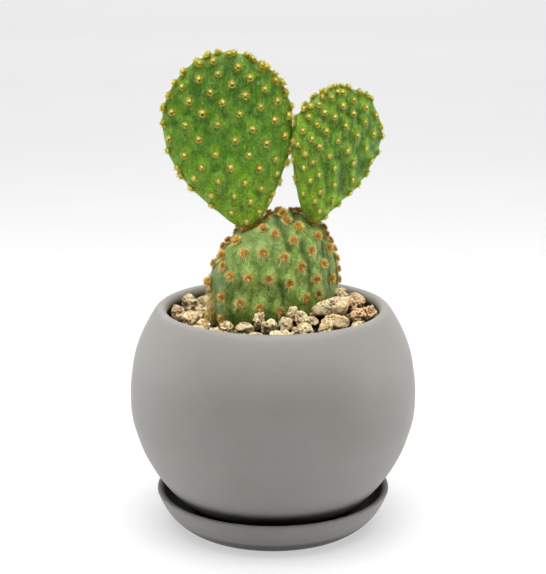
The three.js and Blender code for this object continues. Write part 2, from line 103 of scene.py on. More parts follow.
SMALL_AREOLES = [
    (0.7, 22, -3), (-4.6, 19.9, -3.5), (5.2, 19.1, -4.2), (-10.2, 17.7, -3), (-0.2, 17.2, -4.8), (10.9, 15.5, -4.4), (-8.2, 14.9, -4.6), (4.7, 13.7, -5.4),
    (-4.1, 12.7, -5.5), (-14.7, 12.9, -3.2), (-15.4, 15.9, -1.4), (-12, 10.1, -4.8), (10.1, 9.6, -5.5), (0.5, 8.9, -6.1), (-8.1, 7.4, -5.7), (-17.5, 7.7, -3),
    (6, 4.8, -6.2), (14.5, 4.6, -5), (-14.5, 4.8, -4.7), (-3, 3.1, -6.3), (-11.1, 1.5, -5.6), (-18.9, 2.4, -2.5), (-19.7, 3.8, -1.3), (-16.7, -0.9, -4),
    (1.6, -1.3, -6.4), (10.5, -0.8, -5.7), (-6.7, -2.6, -6.1), (13.8, -6.8, -4.3), (-13.9, -4.6, -4.9), (-19.9, -3.9, -1.1), (4.6, -6.6, -6), (-17.2, -6.8, -3.5),
    (-4.7, -7.8, -6.2), (-11.3, -10, -5.3), (-19.1, -11.4, -0.9), (-14.2, -12.4, -4.4), (4.7, -13.2, -5.2), (-4.4, -14.5, -5.9), (-16.5, -17.5, -2.9), (-10, -17.2, -5.3),
    (-12.4, -20.7, -4.4), (-4.2, -21.3, -4.8), (-10, -25.3, -4.1), (16.6, 12, -3.6), (19.1, 7.2, -3.1), (19.8, 3.1, -2.8), (18.3, -3.5, -2.8), (12.8, -11.7, -3.1),
    (9.2, -16.3, -2.8), (4.7, -19.2, -3.4), (-0.3, -23.7, -2.8), (-6.8, -28.1, -2.8), (-6.7, 22, -0.5), (-6.1, 21.9, -1.4), (-3.5, 23.2, -0.9), (-1.3, 23.7, -0.9),
    (1.5, 24, -0.9), (4.3, 23.6, -1.4), (9.4, 21.6, -2.1), (12.9, 20, -1.8), (15.1, 18.3, -1.8), (-10.6, 19.8, -0), (-9.7, 20.4, -0), (-14.4, 17.3, -0),
    (-18.3, 12.4, 0.5), (-19.2, 10.4, -0.5),
]
BASE_AREOLES = [
    (-7.3, 21.2, -6.6), (-3.6, 19.5, -10.2), (6.7, 21.8, -9.9), (3.3, 17.1, -12.6), (14.8, 17.4, -10.5), (2.6, 26.1, 0), (2.4, 23.9, -7.5), (-1, 25.1, 2.1),
    (-4.4, 23.9, -2.1), (-17.5, 16.6, -3.7), (-19, 15.5, 1.6), (-21.1, 13.3, 1.6), (-23.4, 10.5, -2.1), (-24.2, 7, -5.7), (-25.5, 6.7, 1.6), (-16.9, 12.4, -9.5),
    (-10, 13, -12.3), (-1.8, 10.7, -14.1), (11, 12.3, -13.2), (21, 11.2, -8.4), (18.8, 19.6, -5.7), (19.7, 16.6, -6.6), (22.2, 13.4, -5.2), (24.2, 9.8, -4.6),
    (25.5, 5.7, -5), (25.7, 2, -6.2), (5.5, 6.3, -14.7), (17, 6, -12.3), (-22.6, 3.8, -9.1), (-16.7, 3.1, -12.7), (-8.3, 2.3, -14.6), (0.6, -0.3, -15),
    (12.8, 0.4, -14), (22, -1, -10.4), (26.2, -2.8, -5.7), (-26.7, -1, 3.2), (-26.6, -5.3, 2.6), (-25.2, -5.6, -6.6), (-19.8, -7.4, -11.6), (-12.3, -9.3, -14),
    (-3.3, -11.7, -14.7), (7.8, -6.9, -14.6), (-27, -15, 2.6), (-25.4, -14.7, -6.6), (17, 22.4, -4.3), (-14.5, 18.5, 5.1), (9.9, 26, -2.1), (2.6, 25.7, -3.7),
    (7.5, 26.3, -1.1), (14, -6.4, -13.6),
]
# Furrows between the ribs of the old pad.
FURROWS = [
    [(1.1, 25.8, 0), (-1.4, 22.9, -7.6), (0.8, 18.2, -11.9), (0.8, 13.3, -13.7)],
    [(7.8, 26, -3.4), (6.2, 23.3, -8.5)],
    [(7.2, 15.9, -12.9), (7.4, 11.2, -14), (9.5, 5.2, -14.3), (10.2, -1.5, -14.4), (9.5, -9.9, -14.3)],
    [(18.2, 16.6, -8.5), (17.7, 11.3, -10.8), (17.3, 7.4, -12)],
    [(-3.1, -0.2, -15), (-2.1, -4.4, -15), (-2, -10.8, -14.8)],
    [(20.2, 10.7, -9.3), (20.4, 5.1, -10.8), (20.8, -3.3, -11.1)],
]


# ---- numeric helpers ------------------------------------------------------------
def vnoise(p, seed=0):
    """Smooth noise in -1..1 at the points p."""
    i = np.floor(p).astype(np.int64)
    f = p - i
    f = f * f * f * (f * (f * 6 - 15) + 10)
    out = np.zeros(len(p))
    for dx in (0, 1):
        for dy in (0, 1):
            for dz in (0, 1):
                h = ((i[:, 0] + dx) * 73856093) ^ ((i[:, 1] + dy) * 19349663) ^ ((i[:, 2] + dz) * 83492791) ^ (seed * 26544357)
                h = (h ^ (h >> 13)) * 1274126177
                h = (h ^ (h >> 16)) & 0xFFFF
                w = (
                    (f[:, 0] if dx else 1 - f[:, 0])
                    * (f[:, 1] if dy else 1 - f[:, 1])
                    * (f[:, 2] if dz else 1 - f[:, 2])
                )
                out += w * (h / 32767.5 - 1)
    return out


def fbm(p, size, octaves=3, seed=0, gain=0.5):
    """Noise in octaves, the largest of that size in the units of p."""
    total, amp, out = 0.0, 1.0, np.zeros(len(p))
    for k in range(octaves):
        out += amp * vnoise(p * (2**k / size) + 17.3 * k, seed + 31 * k)
        total += amp
        amp *= gain
    return out / total


def unit(v):
    return v / (np.linalg.norm(v, axis=-1, keepdims=True) + 1e-12)


def smooth_line(points, per=6, closed=False):
    """A Catmull-Rom curve through the points."""
    p = np.array(points, float)
    n = len(p)
    if closed:
        t = np.arange(n * per) / per
        i = np.floor(t).astype(int)
        get = lambda o: p[(i + o) % n]
    else:
        t = np.arange((n - 1) * per + 1) / per
        i = np.minimum(np.floor(t).astype(int), n - 2)
        get = lambda o: p[np.clip(i + o, 0, n - 1)]
    w = (t - i)[:, None]
    p0, p1, p2, p3 = get(-1), get(0), get(1), get(2)
    v0, v1 = (p2 - p0) / 2, (p3 - p1) / 2
    return (2 * p1 - 2 * p2 + v0 + v1) * w**3 + (-3 * p1 + 3 * p2 - 2 * v0 - v1) * w**2 + v0 * w + p1


def resample(line, n, closed=False):
    """n points spaced evenly along a polyline."""
    p = np.vstack([line, line[:1]]) if closed else np.asarray(line)
    d = np.concatenate([[0], np.cumsum(np.linalg.norm(np.diff(p, axis=0), axis=1))])
    t = np.linspace(0, d[-1], n + 1)[:-1] if closed else np.linspace(0, d[-1], n)
    return np.stack([np.interp(t, d, p[:, k]) for k in range(p.shape[1])], 1)


def make_mesh(name, verts, faces, material, attributes=None, smooth=True):
    """A mesh object from vertices in millimetres; faces is a list of arrays, one for each face size."""
    me = bpy.data.meshes.new(name)
    verts = np.asarray(verts, np.float32) * MM
    me.vertices.add(len(verts))
    me.vertices.foreach_set("co", verts.ravel())
    faces = [np.asarray(f, np.int32) for f in faces if len(f)]
    loops = np.concatenate([f.ravel() for f in faces])
    sizes = np.concatenate([np.full(len(f), f.shape[1], np.int32) for f in faces])
    me.loops.add(len(loops))
    me.loops.foreach_set("vertex_index", loops)
    me.polygons.add(len(sizes))
    me.polygons.foreach_set("loop_start", np.concatenate([[0], np.cumsum(sizes)[:-1]]).astype(np.int32))
    me.polygons.foreach_set("loop_total", sizes)
    me.polygons.foreach_set("use_smooth", np.full(len(sizes), smooth, bool))
    me.update(calc_edges=True)
    me.validate()
    for key, value in (attributes or {}).items():
        a = me.attributes.new(key, "FLOAT", "POINT")
        a.data.foreach_set("value", np.asarray(value, np.float32))
    ob = bpy.data.objects.new(name, me)
    bpy.context.scene.collection.objects.link(ob)
    me.materials.append(material)
    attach(ob, "root")
    return ob


def grid_faces(rows, cols, wrap_rows=False):
    """Quads of a grid that closes round on its columns, and on its rows too if wrap_rows."""
    r = np.arange(rows if wrap_rows else rows - 1)[:, None]
    c = np.arange(cols)[None, :]
    a = r * cols + c
    b = r * cols + (c + 1) % cols
    up = (r + 1) % rows if wrap_rows else r + 1
    d = up * cols + c
    e = up * cols + (c + 1) % cols
    return np.stack([a, b, e, d], -1).reshape(-1, 4)


def icosphere(level):
    import bmesh
    bm = bmesh.new()
    bmesh.ops.create_icosphere(bm, subdivisions=level, radius=1)
    bm.verts.ensure_lookup_table()
    v = np.array([x.co[:] for x in bm.verts])
    f = np.array([[x.index for x in y.verts] for y in bm.faces])
    bm.free()
    return unit(v), f


def tree_of(verts, faces):
    tri = []
    for f in faces:
        f = np.asarray(f)
        tri.append(f if f.shape[1] == 3 else np.concatenate([f[:, [0, 1, 2]], f[:, [0, 2, 3]]]))
    return BVHTree.FromPolygons([tuple(v) for v in np.asarray(verts, float)], [tuple(map(int, t)) for t in np.concatenate(tri)])


# ---- node materials -----------------------------------------------------------
class Look:
    """A node material under construction."""

    def __init__(self, name):
        self.m = bpy.data.materials.new(name)
        self.m.use_nodes = True
        self.t = self.m.node_tree
        self.t.nodes.clear()
        self.out = self.t.nodes.new("ShaderNodeOutputMaterial")
        self.s = self.t.nodes.new("ShaderNodeBsdfPrincipled")
        self.t.links.new(self.s.outputs[0], self.out.inputs[0])
        self.place = self.t.nodes.new("ShaderNodeTexCoord").outputs["Object"]

    def put(self, socket, value):
        if hasattr(value, "is_output"):
            self.t.links.new(value, socket)
        else:
            socket.default_value = value

    def set(self, **sockets):
        for k, v in sockets.items():
            self.put(self.s.inputs[k.replace("_", " ")], v)
        return self

    def scaled(self, x, y, z):
        n = self.t.nodes.new("ShaderNodeMapping")
        self.put(n.inputs["Vector"], self.place)
        n.inputs["Scale"].default_value = (x, y, z)
        return n.outputs[0]

    def noise(self, size_mm, detail=3, rough=0.55, where=None, distortion=0.0):
        n = self.t.nodes.new("ShaderNodeTexNoise")
        self.put(n.inputs["Vector"], where or self.place)
        n.inputs["Scale"].default_value = 1 / (size_mm * MM)
        n.inputs["Detail"].default_value = detail
        n.inputs["Roughness"].default_value = rough
        n.inputs["Distortion"].default_value = distortion
        return n.outputs["Fac"]

    def cells(self, size_mm, feature="F1", where=None):
        n = self.t.nodes.new("ShaderNodeTexVoronoi")
        n.feature = feature
        self.put(n.inputs["Vector"], where or self.place)
        n.inputs["Scale"].default_value = 1 / (size_mm * MM)
        return n.outputs["Distance"]

    def attr(self, name):
        n = self.t.nodes.new("ShaderNodeAttribute")
        n.attribute_name = name
        return n.outputs["Fac"]

    def ramp(self, value, stops):
        n = self.t.nodes.new("ShaderNodeValToRGB")
        self.put(n.inputs[0], value)
        e = n.color_ramp.elements
        while len(e) < len(stops):
            e.new(0.5)
        for x, (at, c) in zip(e, stops):
            x.position = at
            x.color = (*c, 1) if len(c) == 3 else c
        return n.outputs[0]

    def span(self, value, a, b, c=0.0, d=1.0):
        n = self.t.nodes.new("ShaderNodeMapRange")
        self.put(n.inputs[0], value)
        for i, x in enumerate((a, b, c, d)):
            n.inputs[i + 1].default_value = x
        return n.outputs[0]

    def math(self, op, a, b=0.0):
        n = self.t.nodes.new("ShaderNodeMath")
        n.operation = op
        self.put(n.inputs[0], a)
        self.put(n.inputs[1], b)
        return n.outputs[0]

    def mix(self, fac, a, b, kind="MIX"):
        n = self.t.nodes.new("ShaderNodeMix")
        n.data_type = "RGBA"
        n.blend_type = kind
        self.put(n.inputs[0], fac)
        for i, x in ((6, a), (7, b)):
            self.put(n.inputs[i], (*x, 1) if isinstance(x, tuple) and len(x) == 3 else x)
        return n.outputs[2]

    def bump(self, height, distance_mm, strength=1.0, under=None):
        n = self.t.nodes.new("ShaderNodeBump")
        n.inputs["Strength"].default_value = strength
        n.inputs["Distance"].default_value = distance_mm * MM
        self.put(n.inputs["Height"], height)
        if under is not None:
            self.put(n.inputs["Normal"], under)
        return n.outputs[0]


def rgb(r, g, b):
    """A display colour as linear light."""
    return tuple(((c / 255) / 12.92 if c / 255 <= 0.04045 else ((c / 255 + 0.055) / 1.055) ** 2.4) for c in (r, g, b))


def clay_look(name, light, dark, painted_shade_colour):
    """Matte clay, painted lighter and darker in bands by height as painted light and shade. The last colour is painted
    shade: inside below the lip, and low down by the saucer and its foot.
    """
    k = Look(name)
    broad = k.span(k.noise(34, 2, 0.5), 0.35, 0.65)
    grain = k.noise(0.5, 2, 0.6)
    colour = k.mix(broad, dark, light)
    colour = k.mix(k.span(grain, 0.3, 0.75, 0.0, 0.24), colour, tuple(c * 0.7 for c in light))
    specks = k.span(k.noise(0.9, 2, 0.6), 0.62, 0.74, 0.0, 0.3)
    colour = k.mix(specks, colour, tuple(min(1.0, c * 1.35) for c in light))
    # painted light and shade: lighter and darker bands by height
    colour = k.mix(1.0, colour, k.span(k.attr("painted_light_band"), 0.0, 1.0, 0.9, 1.1), "MULTIPLY")
    # painted shade inside the pot's mouth, in the saucer and low down by the saucer
    colour = k.mix(k.attr("painted_shade"), colour, painted_shade_colour)
    fine = k.bump(grain, 0.06, 0.6)
    lumps = k.bump(k.noise(2.2, 3, 0.5), 0.08, 0.35, fine)
    return k.set(Base_Color=colour, Roughness=k.span(grain, 0.3, 0.7, 0.5, 0.64), Specular_IOR_Level=0.42, Sheen_Weight=0.12, Sheen_Roughness=0.4, Normal=lumps).m


def pad_look(name, low, mid, high, pale, dark, bloom, streak=0.5, wrinkle=0.0, strong=1.0, relief=1.0, waist=0.42):
    k = Look(name)
    up = k.attr("up")
    colour = k.ramp(up, [(0.0, low), (waist, mid), (1.0, high)])
    cloud = k.noise(5.0, 4, 0.6, distortion=0.4)
    colour = k.mix(k.span(cloud, 0.44, 0.66, 0.0, 0.6 * strong), colour, pale)
    patch = k.noise(2.4, 4, 0.62, k.scaled(1.0, 1.0, 0.75), 0.6)
    colour = k.mix(k.span(patch, 0.47, 0.66, 0.0, 0.7 * strong), colour, dark)
    lines = k.noise(1.2, 3, 0.65, k.scaled(1.0, 1.0, 0.45), 0.6)
    colour = k.mix(k.span(lines, 0.52, 0.68, 0.0, streak), colour, bloom)
    # painted light on the swellings under the areoles, painted shade in the hollows between them
    colour = k.mix(k.math("MULTIPLY", k.attr("painted_ridge_light"), 0.3 * relief), colour, pale)
    colour = k.mix(k.math("MULTIPLY", k.attr("painted_valley_shade"), 0.42 * relief), colour, dark)
    # a painted highlight along the pad's rim
    colour = k.mix(k.math("MULTIPLY", k.attr("edge"), 0.4), colour, pale)
    # painted shade along the furrows of the old pad
    colour = k.mix(k.math("MULTIPLY", k.attr("furrow"), 0.75), colour, dark)
    # painted shadow just below each areole
    colour = k.mix(k.math("MULTIPLY", k.attr("near"), 0.8), colour, tuple(c * 0.75 for c in dark))
    dots = k.span(k.cells(0.7), 0.1, 0.3, 1.0, 0.0)
    colour = k.mix(k.math("MULTIPLY", dots, 0.3), colour, bloom)
    leather = k.span(k.noise(0.8, 3, 0.7), 0.34, 0.66, 0.74, 1.28)
    colour = k.mix(1.0, colour, leather, "MULTIPLY")
    # painted light and shade low down on the old pad's right and left sides
    colour = k.mix(1.0, colour, k.span(k.attr("painted_side_light"), 0.0, 1.0, 0.8, 1.9), "MULTIPLY")
    fine = k.bump(k.noise(0.6, 3, 0.6), 0.1, 0.6)
    skin = k.bump(lines, 0.35, 0.6, fine)
    skin = k.bump(patch, 0.35, 0.5, skin)
    if wrinkle:
        folds = k.noise(1.1, 3, 0.6, k.scaled(0.3, 0.3, 1.2))
        skin = k.bump(folds, wrinkle, 0.8, skin)
        # painted shade in the creases of the folds, low down on the pad
        low_down = k.span(up, 0.25, 0.55, 0.5, 0.0)
        colour = k.mix(k.math("MULTIPLY", k.span(folds, 0.5, 0.62), low_down), colour, dark)
    return k.set(
        Base_Color=colour, Roughness=k.span(cloud, 0.3, 0.7, 0.46, 0.6), Specular_IOR_Level=0.3, Normal=skin,
        Subsurface_Weight=0.1, Subsurface_Scale=0.0015, Subsurface_Radius=(0.5, 1.0, 0.25),
    ).m


def bristle_look(name, root, middle, tip, heart, shade):
    """Bristles are dark where they grow out and pale at the tip. heart is for those in the middle, shade for the loose ones."""
    k = Look(name)
    colour = k.ramp(k.attr("tip"), [(0.0, root), (0.4, middle), (0.9, tip)])
    colour = k.mix(k.span(k.noise(0.45, 3, 0.7), 0.42, 0.62, 0.0, 0.4), colour, middle)
    colour = k.mix(k.span(k.attr("tone"), 0.0, 1.0, 0.0, 0.85), colour, shade)
    colour = k.mix(k.span(k.attr("tone"), 1.0, 2.0, 0.0, 0.9), colour, tuple(0.16 * c for c in shade))
    colour = k.mix(k.attr("kind"), colour, heart)
    return k.set(
        Base_Color=colour, Roughness=0.6, Specular_IOR_Level=0.15, Normal=k.bump(k.noise(0.25, 2, 0.7), 0.15, 0.7),
        Subsurface_Weight=0.06, Subsurface_Scale=0.0004, Subsurface_Radius=(1.0, 0.85, 0.5),
    ).m


def stone_look():
    k = Look("porous_gravel")
    pit, tone, painted_recess_shade, under = k.attr("pit"), k.attr("tone"), k.attr("painted_recess_shade"), k.attr("under")
    coarse = k.noise(1.9, 5, 0.65)
    colour = k.ramp(coarse, [(0.32, rgb(230, 176, 112)), (0.45, rgb(255, 229, 172)), (0.57, rgb(255, 248, 210))])
    colour = k.mix(k.span(tone, 0.0, 1.6, 0.0, 0.7), colour, rgb(202, 148, 92))
    rust = k.noise(1.2, 4, 0.65, distortion=0.6)
    colour = k.mix(k.span(rust, 0.56, 0.67, 0.0, 0.9), colour, rgb(158, 96, 52))
    # painted shade in the recesses and worn hollows
    colour = k.mix(k.math("MULTIPLY", painted_recess_shade, 0.85), colour, rgb(104, 58, 28))
    # painted shade on the undersides
    colour = k.mix(k.math("MULTIPLY", under, 0.95), colour, rgb(70, 36, 22))
    pores = k.span(k.cells(0.75), 0.12, 0.34, 1.0, 0.0)
    colour = k.mix(k.math("MULTIPLY", pores, 0.75), colour, rgb(100, 58, 32))
    # painted shade in the pits
    colour = k.mix(pit, colour, rgb(46, 24, 12))
    bits = k.span(k.noise(0.5, 2), 0.56, 0.66)
    colour = k.mix(k.math("MULTIPLY", bits, 0.55), colour, rgb(255, 243, 208))
    h = k.bump(pores, -0.3, 0.9)
    h = k.bump(k.noise(0.5, 3, 0.65), 0.3, 1.0, h)
    h = k.bump(coarse, 0.6, 0.9, h)
    return k.set(Base_Color=colour, Roughness=0.92, Specular_IOR_Level=0.2, Normal=h).m


def soil_look():
    # the soil's own dark brown, painted darker still as painted shade in the gaps between the stones
    k = Look("dark_growing_mix")
    n = k.noise(1.4, 5, 0.7)
    colour = k.ramp(n, [(0.3, rgb(18, 11, 8)), (0.55, rgb(40, 27, 20)), (0.75, rgb(88, 62, 42))])
    h = k.bump(n, 0.6, 1.0)
    h = k.bump(k.noise(0.4, 3), 0.15, 0.8, h)
    return k.set(Base_Color=colour, Roughness=k.span(n, 0.3, 0.7, 0.85, 0.97), Specular_IOR_Level=0.15, Normal=h).m


# the last colour of each clay is its painted shade
CLAY = clay_look("grey_clay", rgb(144, 141, 137), rgb(139, 136, 131), rgb(54, 51, 49))
CLAY_DISH = clay_look("grey_clay_dish", rgb(135, 132, 128), rgb(130, 127, 123), rgb(46, 43, 41))
LARGE_SKIN = pad_look(
    "young_skin", rgb(138, 180, 8), rgb(102, 157, 19), rgb(32, 73, 7), rgb(132, 172, 46), rgb(26, 66, 5), rgb(148, 184, 92), 0.5
)
SMALL_SKIN = pad_look(
    "young_skin_back", rgb(144, 186, 10), rgb(97, 147, 16), rgb(43, 84, 6), rgb(140, 179, 44), rgb(20, 54, 3), rgb(157, 192, 88), 0.55, relief=1.6
)
BASE_SKIN = pad_look(
    "old_skin", rgb(66, 90, 14), rgb(122, 151, 54), rgb(122, 149, 64), rgb(148, 174, 100), rgb(40, 62, 6), rgb(164, 188, 122), 0.6, 0.3, 1.05, 1.35, 0.3
)
GOLD_TUFT = bristle_look("golden_bristles", rgb(150, 136, 8), rgb(238, 228, 84), rgb(255, 254, 160), rgb(84, 42, 6), rgb(146, 134, 4))
RUST_TUFT = bristle_look("rusty_bristles", rgb(142, 104, 12), rgb(232, 184, 76), rgb(255, 234, 142), rgb(255, 246, 176), rgb(172, 112, 10))
STONE = stone_look()
SOIL = soil_look()


# ---- pot and saucer ---------------------------------------------------------------
def lathe(name, profile, sides, material, node, painted_shade):
    """Turns a profile round Z. It closes on itself, or starts and ends on the axis. The last argument gives each
    profile point's painted shade, 0 to 1, from its index, radius and height.
    """
    p = np.asarray(profile, float)
    a = np.arange(sides) * TAU / sides
    ring = np.stack([np.cos(a), np.sin(a)], 1)
    on_axis = p[0, 0] < 1e-9
    inner = p[1:-1] if on_axis else p
    v = np.concatenate([np.column_stack([ring * r, np.full(sides, z)]) for r, z in inner])
    rows = len(inner)
    quads = grid_faces(rows, sides, wrap_rows=not on_axis)
    faces = [quads]
    if on_axis:
        v = np.vstack([v, [0, 0, p[0, 1]], [0, 0, p[-1, 1]]])
        k = np.arange(sides)
        nxt = (k + 1) % sides
        first = np.stack([np.full(sides, rows * sides), nxt, k], 1)
        last0 = (rows - 1) * sides
        last = np.stack([np.full(sides, rows * sides + 1), last0 + k, last0 + nxt], 1)
        faces.append(np.concatenate([first, last]))
    # painted shade for each ring of the profile
    dark = [painted_shade(k, r, z) for k, (r, z) in enumerate(inner)]
    dark = np.concatenate([np.repeat(dark, sides), [1.0, 1.0] if on_axis else []])
    # the painted shade, and painted light and shade in bands by height
    ob = make_mesh(name, v, faces, material, dict(painted_shade=dark, painted_light_band=np.interp(v[:, 2], [16, 30, 42, 56, 67, 80, 92], [0.35, 0.3, 0.72, 0.35, 0.1, 0.45, 0.75])))
    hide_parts(node)
    return ob


def straight(points, step=2.5):
    """A polyline with points added so that no stretch is longer than step."""
    out = []
    for a, b in zip(points[:-1], points[1:]):
        n = max(1, int(math.ceil(math.dist(a, b) / step)))
        out += [tuple(np.array(a) + (np.array(b) - np.array(a)) * i / n) for i in range(n)]
    return out + [points[-1]]


pot_curve = smooth_line(POT_OUTER[1:] + POT_INNER, 8)
pot_curve = resample(pot_curve, 150)
pot_profile = list(map(tuple, pot_curve)) + straight(
    [tuple(pot_curve[-1]), (8.4, 10.6), (8, 10.2), (8, 7), (8.4, 6.6), (25, 6.6), (25.6, 6.3), (26, 5.3), (26.4, 5.1), (29.7, 5.1)], 4
)[1:]
crest = int(np.argmax([z for _, z in pot_profile]))


def ease(x):
    x = min(1.0, max(0.0, x))
    return x * x * (3 - 2 * x)


lathe(
    "pot_shell", pot_profile, 160, CLAY, "pot",
    # painted shade: a little inside the pot below its lip, and strongly low on the outside where it sits in the saucer
    lambda k, r, z: 0.4 * ease((93.8 - z) / 3) if k > crest + 3 else 0.98 * ease((20.9 - z) / 4.4),
)
saucer_curve = resample(smooth_line(SAUCER_SIDE, 8), 84)
saucer_profile = (
    straight([(0, 1.2), (27, 1.2), (27.5, 1), (27.7, 0.2), (28, 0), (33.1, 0)], 5)
    + list(map(tuple, saucer_curve))
    + straight([tuple(saucer_curve[-1]), (0, 4.8)], 5)[1:]
)
lip = int(np.argmax([z for _, z in saucer_profile]))
lathe(
    "saucer_dish", saucer_profile, 144, CLAY_DISH, "saucer",
    # painted shade: inside the saucer below its rim, and on the outside and underneath low down towards the foot
    lambda k, r, z: 0.25 * ease((15.2 - z) / 0.8) + 0.7 * ease((14.9 - z) / 3.6) if k > lip else 0.17 * ease((11 - z) / 4) + 0.82 * ease((6.8 - z) / 2.8),
)


# ---- stem pads ------------------------------------------------------------------------
class Pad:
    """One stem segment: its smooth body, its areoles and the mesh that carries them."""

    def __init__(self, shape, around, across):
        self.half = shape["half"]
        self.round = shape["round"]
        a = math.radians(shape["turn"])
        self.turn = np.array([[math.cos(a), -math.sin(a), 0], [math.sin(a), math.cos(a), 0], [0, 0, 1]])
        self.centre = np.array(shape["centre"], float)
        self.rim = resample(smooth_line(shape["outline"], 24, closed=True), around, closed=True)
        # the rim starts on the +x side, as the outline does, so that rings don't shear
        e1, e2 = self.round
        s = np.linspace(-math.pi / 2, math.pi / 2, 4001)
        reach = np.abs(self.rim).mean() * 1.25
        arc = np.concatenate([[0], np.cumsum(np.hypot(np.diff(reach * np.cos(s) ** e1), np.diff(np.sign(np.sin(s)) * np.abs(np.sin(s)) ** e2 * self.half)))])
        self.s = np.interp(np.linspace(0, arc[-1], across + 1), arc, s)[1:-1]
        self.around = around
        rho = np.clip(np.cos(self.s), 0, 1)[:, None] ** e1
        h = (np.sign(np.sin(self.s)) * np.abs(np.sin(self.s)) ** e2 * self.half)[:, None]
        grid = np.stack([self.rim[None, :, 0] * rho, np.broadcast_to(h, (len(self.s), around)), self.rim[None, :, 1] * rho], -1)
        self.rows = len(self.s)
        self.local = np.vstack([grid.reshape(-1, 3), [0, -self.half, 0], [0, self.half, 0]])
        k = np.arange(around)
        nxt = (k + 1) % around
        n = self.rows * around
        last = (self.rows - 1) * around
        self.faces = [
            grid_faces(self.rows, around),
            np.concatenate([np.stack([np.full(around, n), nxt, k], 1), np.stack([np.full(around, n + 1), last + k, last + nxt], 1)]),
        ]
        self.normal = self.normals(self.local)
        if (self.normal * self.local).sum() < 0:
            self.faces = [f[:, ::-1] for f in self.faces]
            self.normal = -self.normal
        self.edge = np.concatenate([np.repeat(np.clip(rho[:, 0], 0, 1), around), [0, 0]])

    def normals(self, v):
        g = v[: self.rows * self.around].reshape(self.rows, self.around, 3)
        n = unit(np.cross(np.roll(g, -1, 1) - np.roll(g, 1, 1), np.gradient(g, axis=0)))
        return np.vstack([n.reshape(-1, 3), [0, -1, 0], [0, 1, 0]]) if n[0, 0, 1] < 0 else np.vstack([n.reshape(-1, 3), [0, 1, 0], [0, -1, 0]])

    def world(self, v):
        return v @ self.turn.T + self.centre

    def snap(self, points):
        """The nearest vertices of the smooth body to the points (across, up, out)."""
        q = np.array([(x, h, z) for x, z, h in points], float)
        return np.array([np.argmin(((self.local - p) ** 2).sum(1)) for p in q])


def far_side(pad, near, spacing, rise, seed, lowest, inset=0.9):
    """Areoles for the side that faces away, in staggered rows."""
    rng = np.random.default_rng(seed)
    e1, e2 = pad.round
    have = [pad.local[i] for i in near]
    found = []
    ang = np.arctan2(pad.rim[:, 1], pad.rim[:, 0])
    order = np.argsort(ang)
    radius = np.hypot(pad.rim[:, 0], pad.rim[:, 1])
    row = 0
    z = pad.rim[:, 1].max()
    while z > lowest:
        x = -40 + (row % 2) * spacing / 2
        while x < 40:
            p = np.array([x + rng.uniform(-0.7, 0.7), z + rng.uniform(-0.7, 0.7)])
            lim = np.interp(math.atan2(p[1], p[0]), ang[order], radius[order], period=TAU)
            rho = math.hypot(*p) / lim
            if rho < inset:
                s = math.acos(min(1.0, rho ** (1 / e1)))
                q = np.array([p[0], math.sin(s) ** e2 * pad.half, p[1]])
                if min(np.linalg.norm(q - o) for o in have) > spacing * 0.62:
                    have.append(q)
                    found.append((q[0], q[2], q[1]))
            x += spacing
        z -= rise
        row += 1
    return found


def body(pad, name, node, material, areoles, bulge, wide, tall, seed, furrows=(), lump=0.35, keep_off=None, shade=(1.3, 1.7), side_light_factor=None):
    """The pad's fine mesh, with a low swelling under each areole."""
    idx = pad.snap(areoles)
    v, n = pad.local, pad.normal
    near = np.zeros(len(v))
    swell = np.zeros(len(v))
    low = np.array([-0.25, 0.0, -1.15])
    for i in idx:
        d = v - v[i]
        r2 = (d[:, 0] ** 2 + d[:, 1] ** 2) / wide**2 + d[:, 2] ** 2 / tall**2
        g = np.exp(-r2)
        swell = np.maximum(swell, g) + 0.25 * np.minimum(swell, g)
        # painted shadow: a patch a little below each areole
        d = d - low
        near = np.maximum(near, np.exp(-((d[:, 0] ** 2 + d[:, 1] ** 2) / shade[0] ** 2 + d[:, 2] ** 2 / shade[1] ** 2)))
    furrow = np.zeros(len(v))
    for line in furrows:
        q = resample(smooth_line([(x, h, z) for x, z, h in line], 6), 24)
        for p in q:
            furrow = np.maximum(furrow, np.exp(-((v - p) ** 2).sum(1) / 1.5**2))
    out = (
        bulge * (swell - 0.35)
        + lump * fbm(v, 14, 2, seed)
        + 0.10 * fbm(v * np.array([1, 1, 0.5]), 2.4, 3, seed + 5)
        - 0.75 * furrow
    )
    tip = np.clip(1 - pad.edge, 0, 1)
    mesh = pad.world(v + n * out[:, None])
    if keep_off is not None:
        tree, gap = keep_off
        low = np.where(mesh[:, 2] < 142)[0]
        for i in low:
            at, nn, _, dist = tree.find_nearest(Vector(mesh[i]))
            side = (Vector(mesh[i]) - at).dot(nn)
            if side < gap:
                mesh[i] = np.array(at + nn * gap)
    lo, hi = mesh[:, 2].min(), mesh[:, 2].max()
    pad.mesh = mesh
    pad.out_normal = unit(pad.normals(mesh) * np.sign((pad.normals(mesh) * (n @ pad.turn.T)).sum(1))[:, None])
    pad.areoles = idx
    ob = make_mesh(
        name, mesh, pad.faces, material,
        dict(
            # painted light and shade: a highlight along the rim, a shadow below each areole, shade in the furrows
            up=(mesh[:, 2] - lo) / (hi - lo), edge=pad.edge**10, near=near * 0.85, furrow=furrow,
            # painted light on the swellings and painted shade between them
            painted_ridge_light=np.clip((swell - 0.35) / 0.5, 0, 1), painted_valley_shade=np.clip((0.3 - swell) / 0.3, 0, 1),
            # painted light and shade on the old pad's sides; the other pads get a neutral value
            painted_side_light=(np.clip(side_light_factor(mesh[:, 0], (mesh[:, 2] - lo) / (hi - lo)), 0.8, 1.9) - 0.8) / 1.1 if side_light_factor else np.full(len(v), 0.2 / 1.1),
        ),
    )
    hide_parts(node)
    return ob


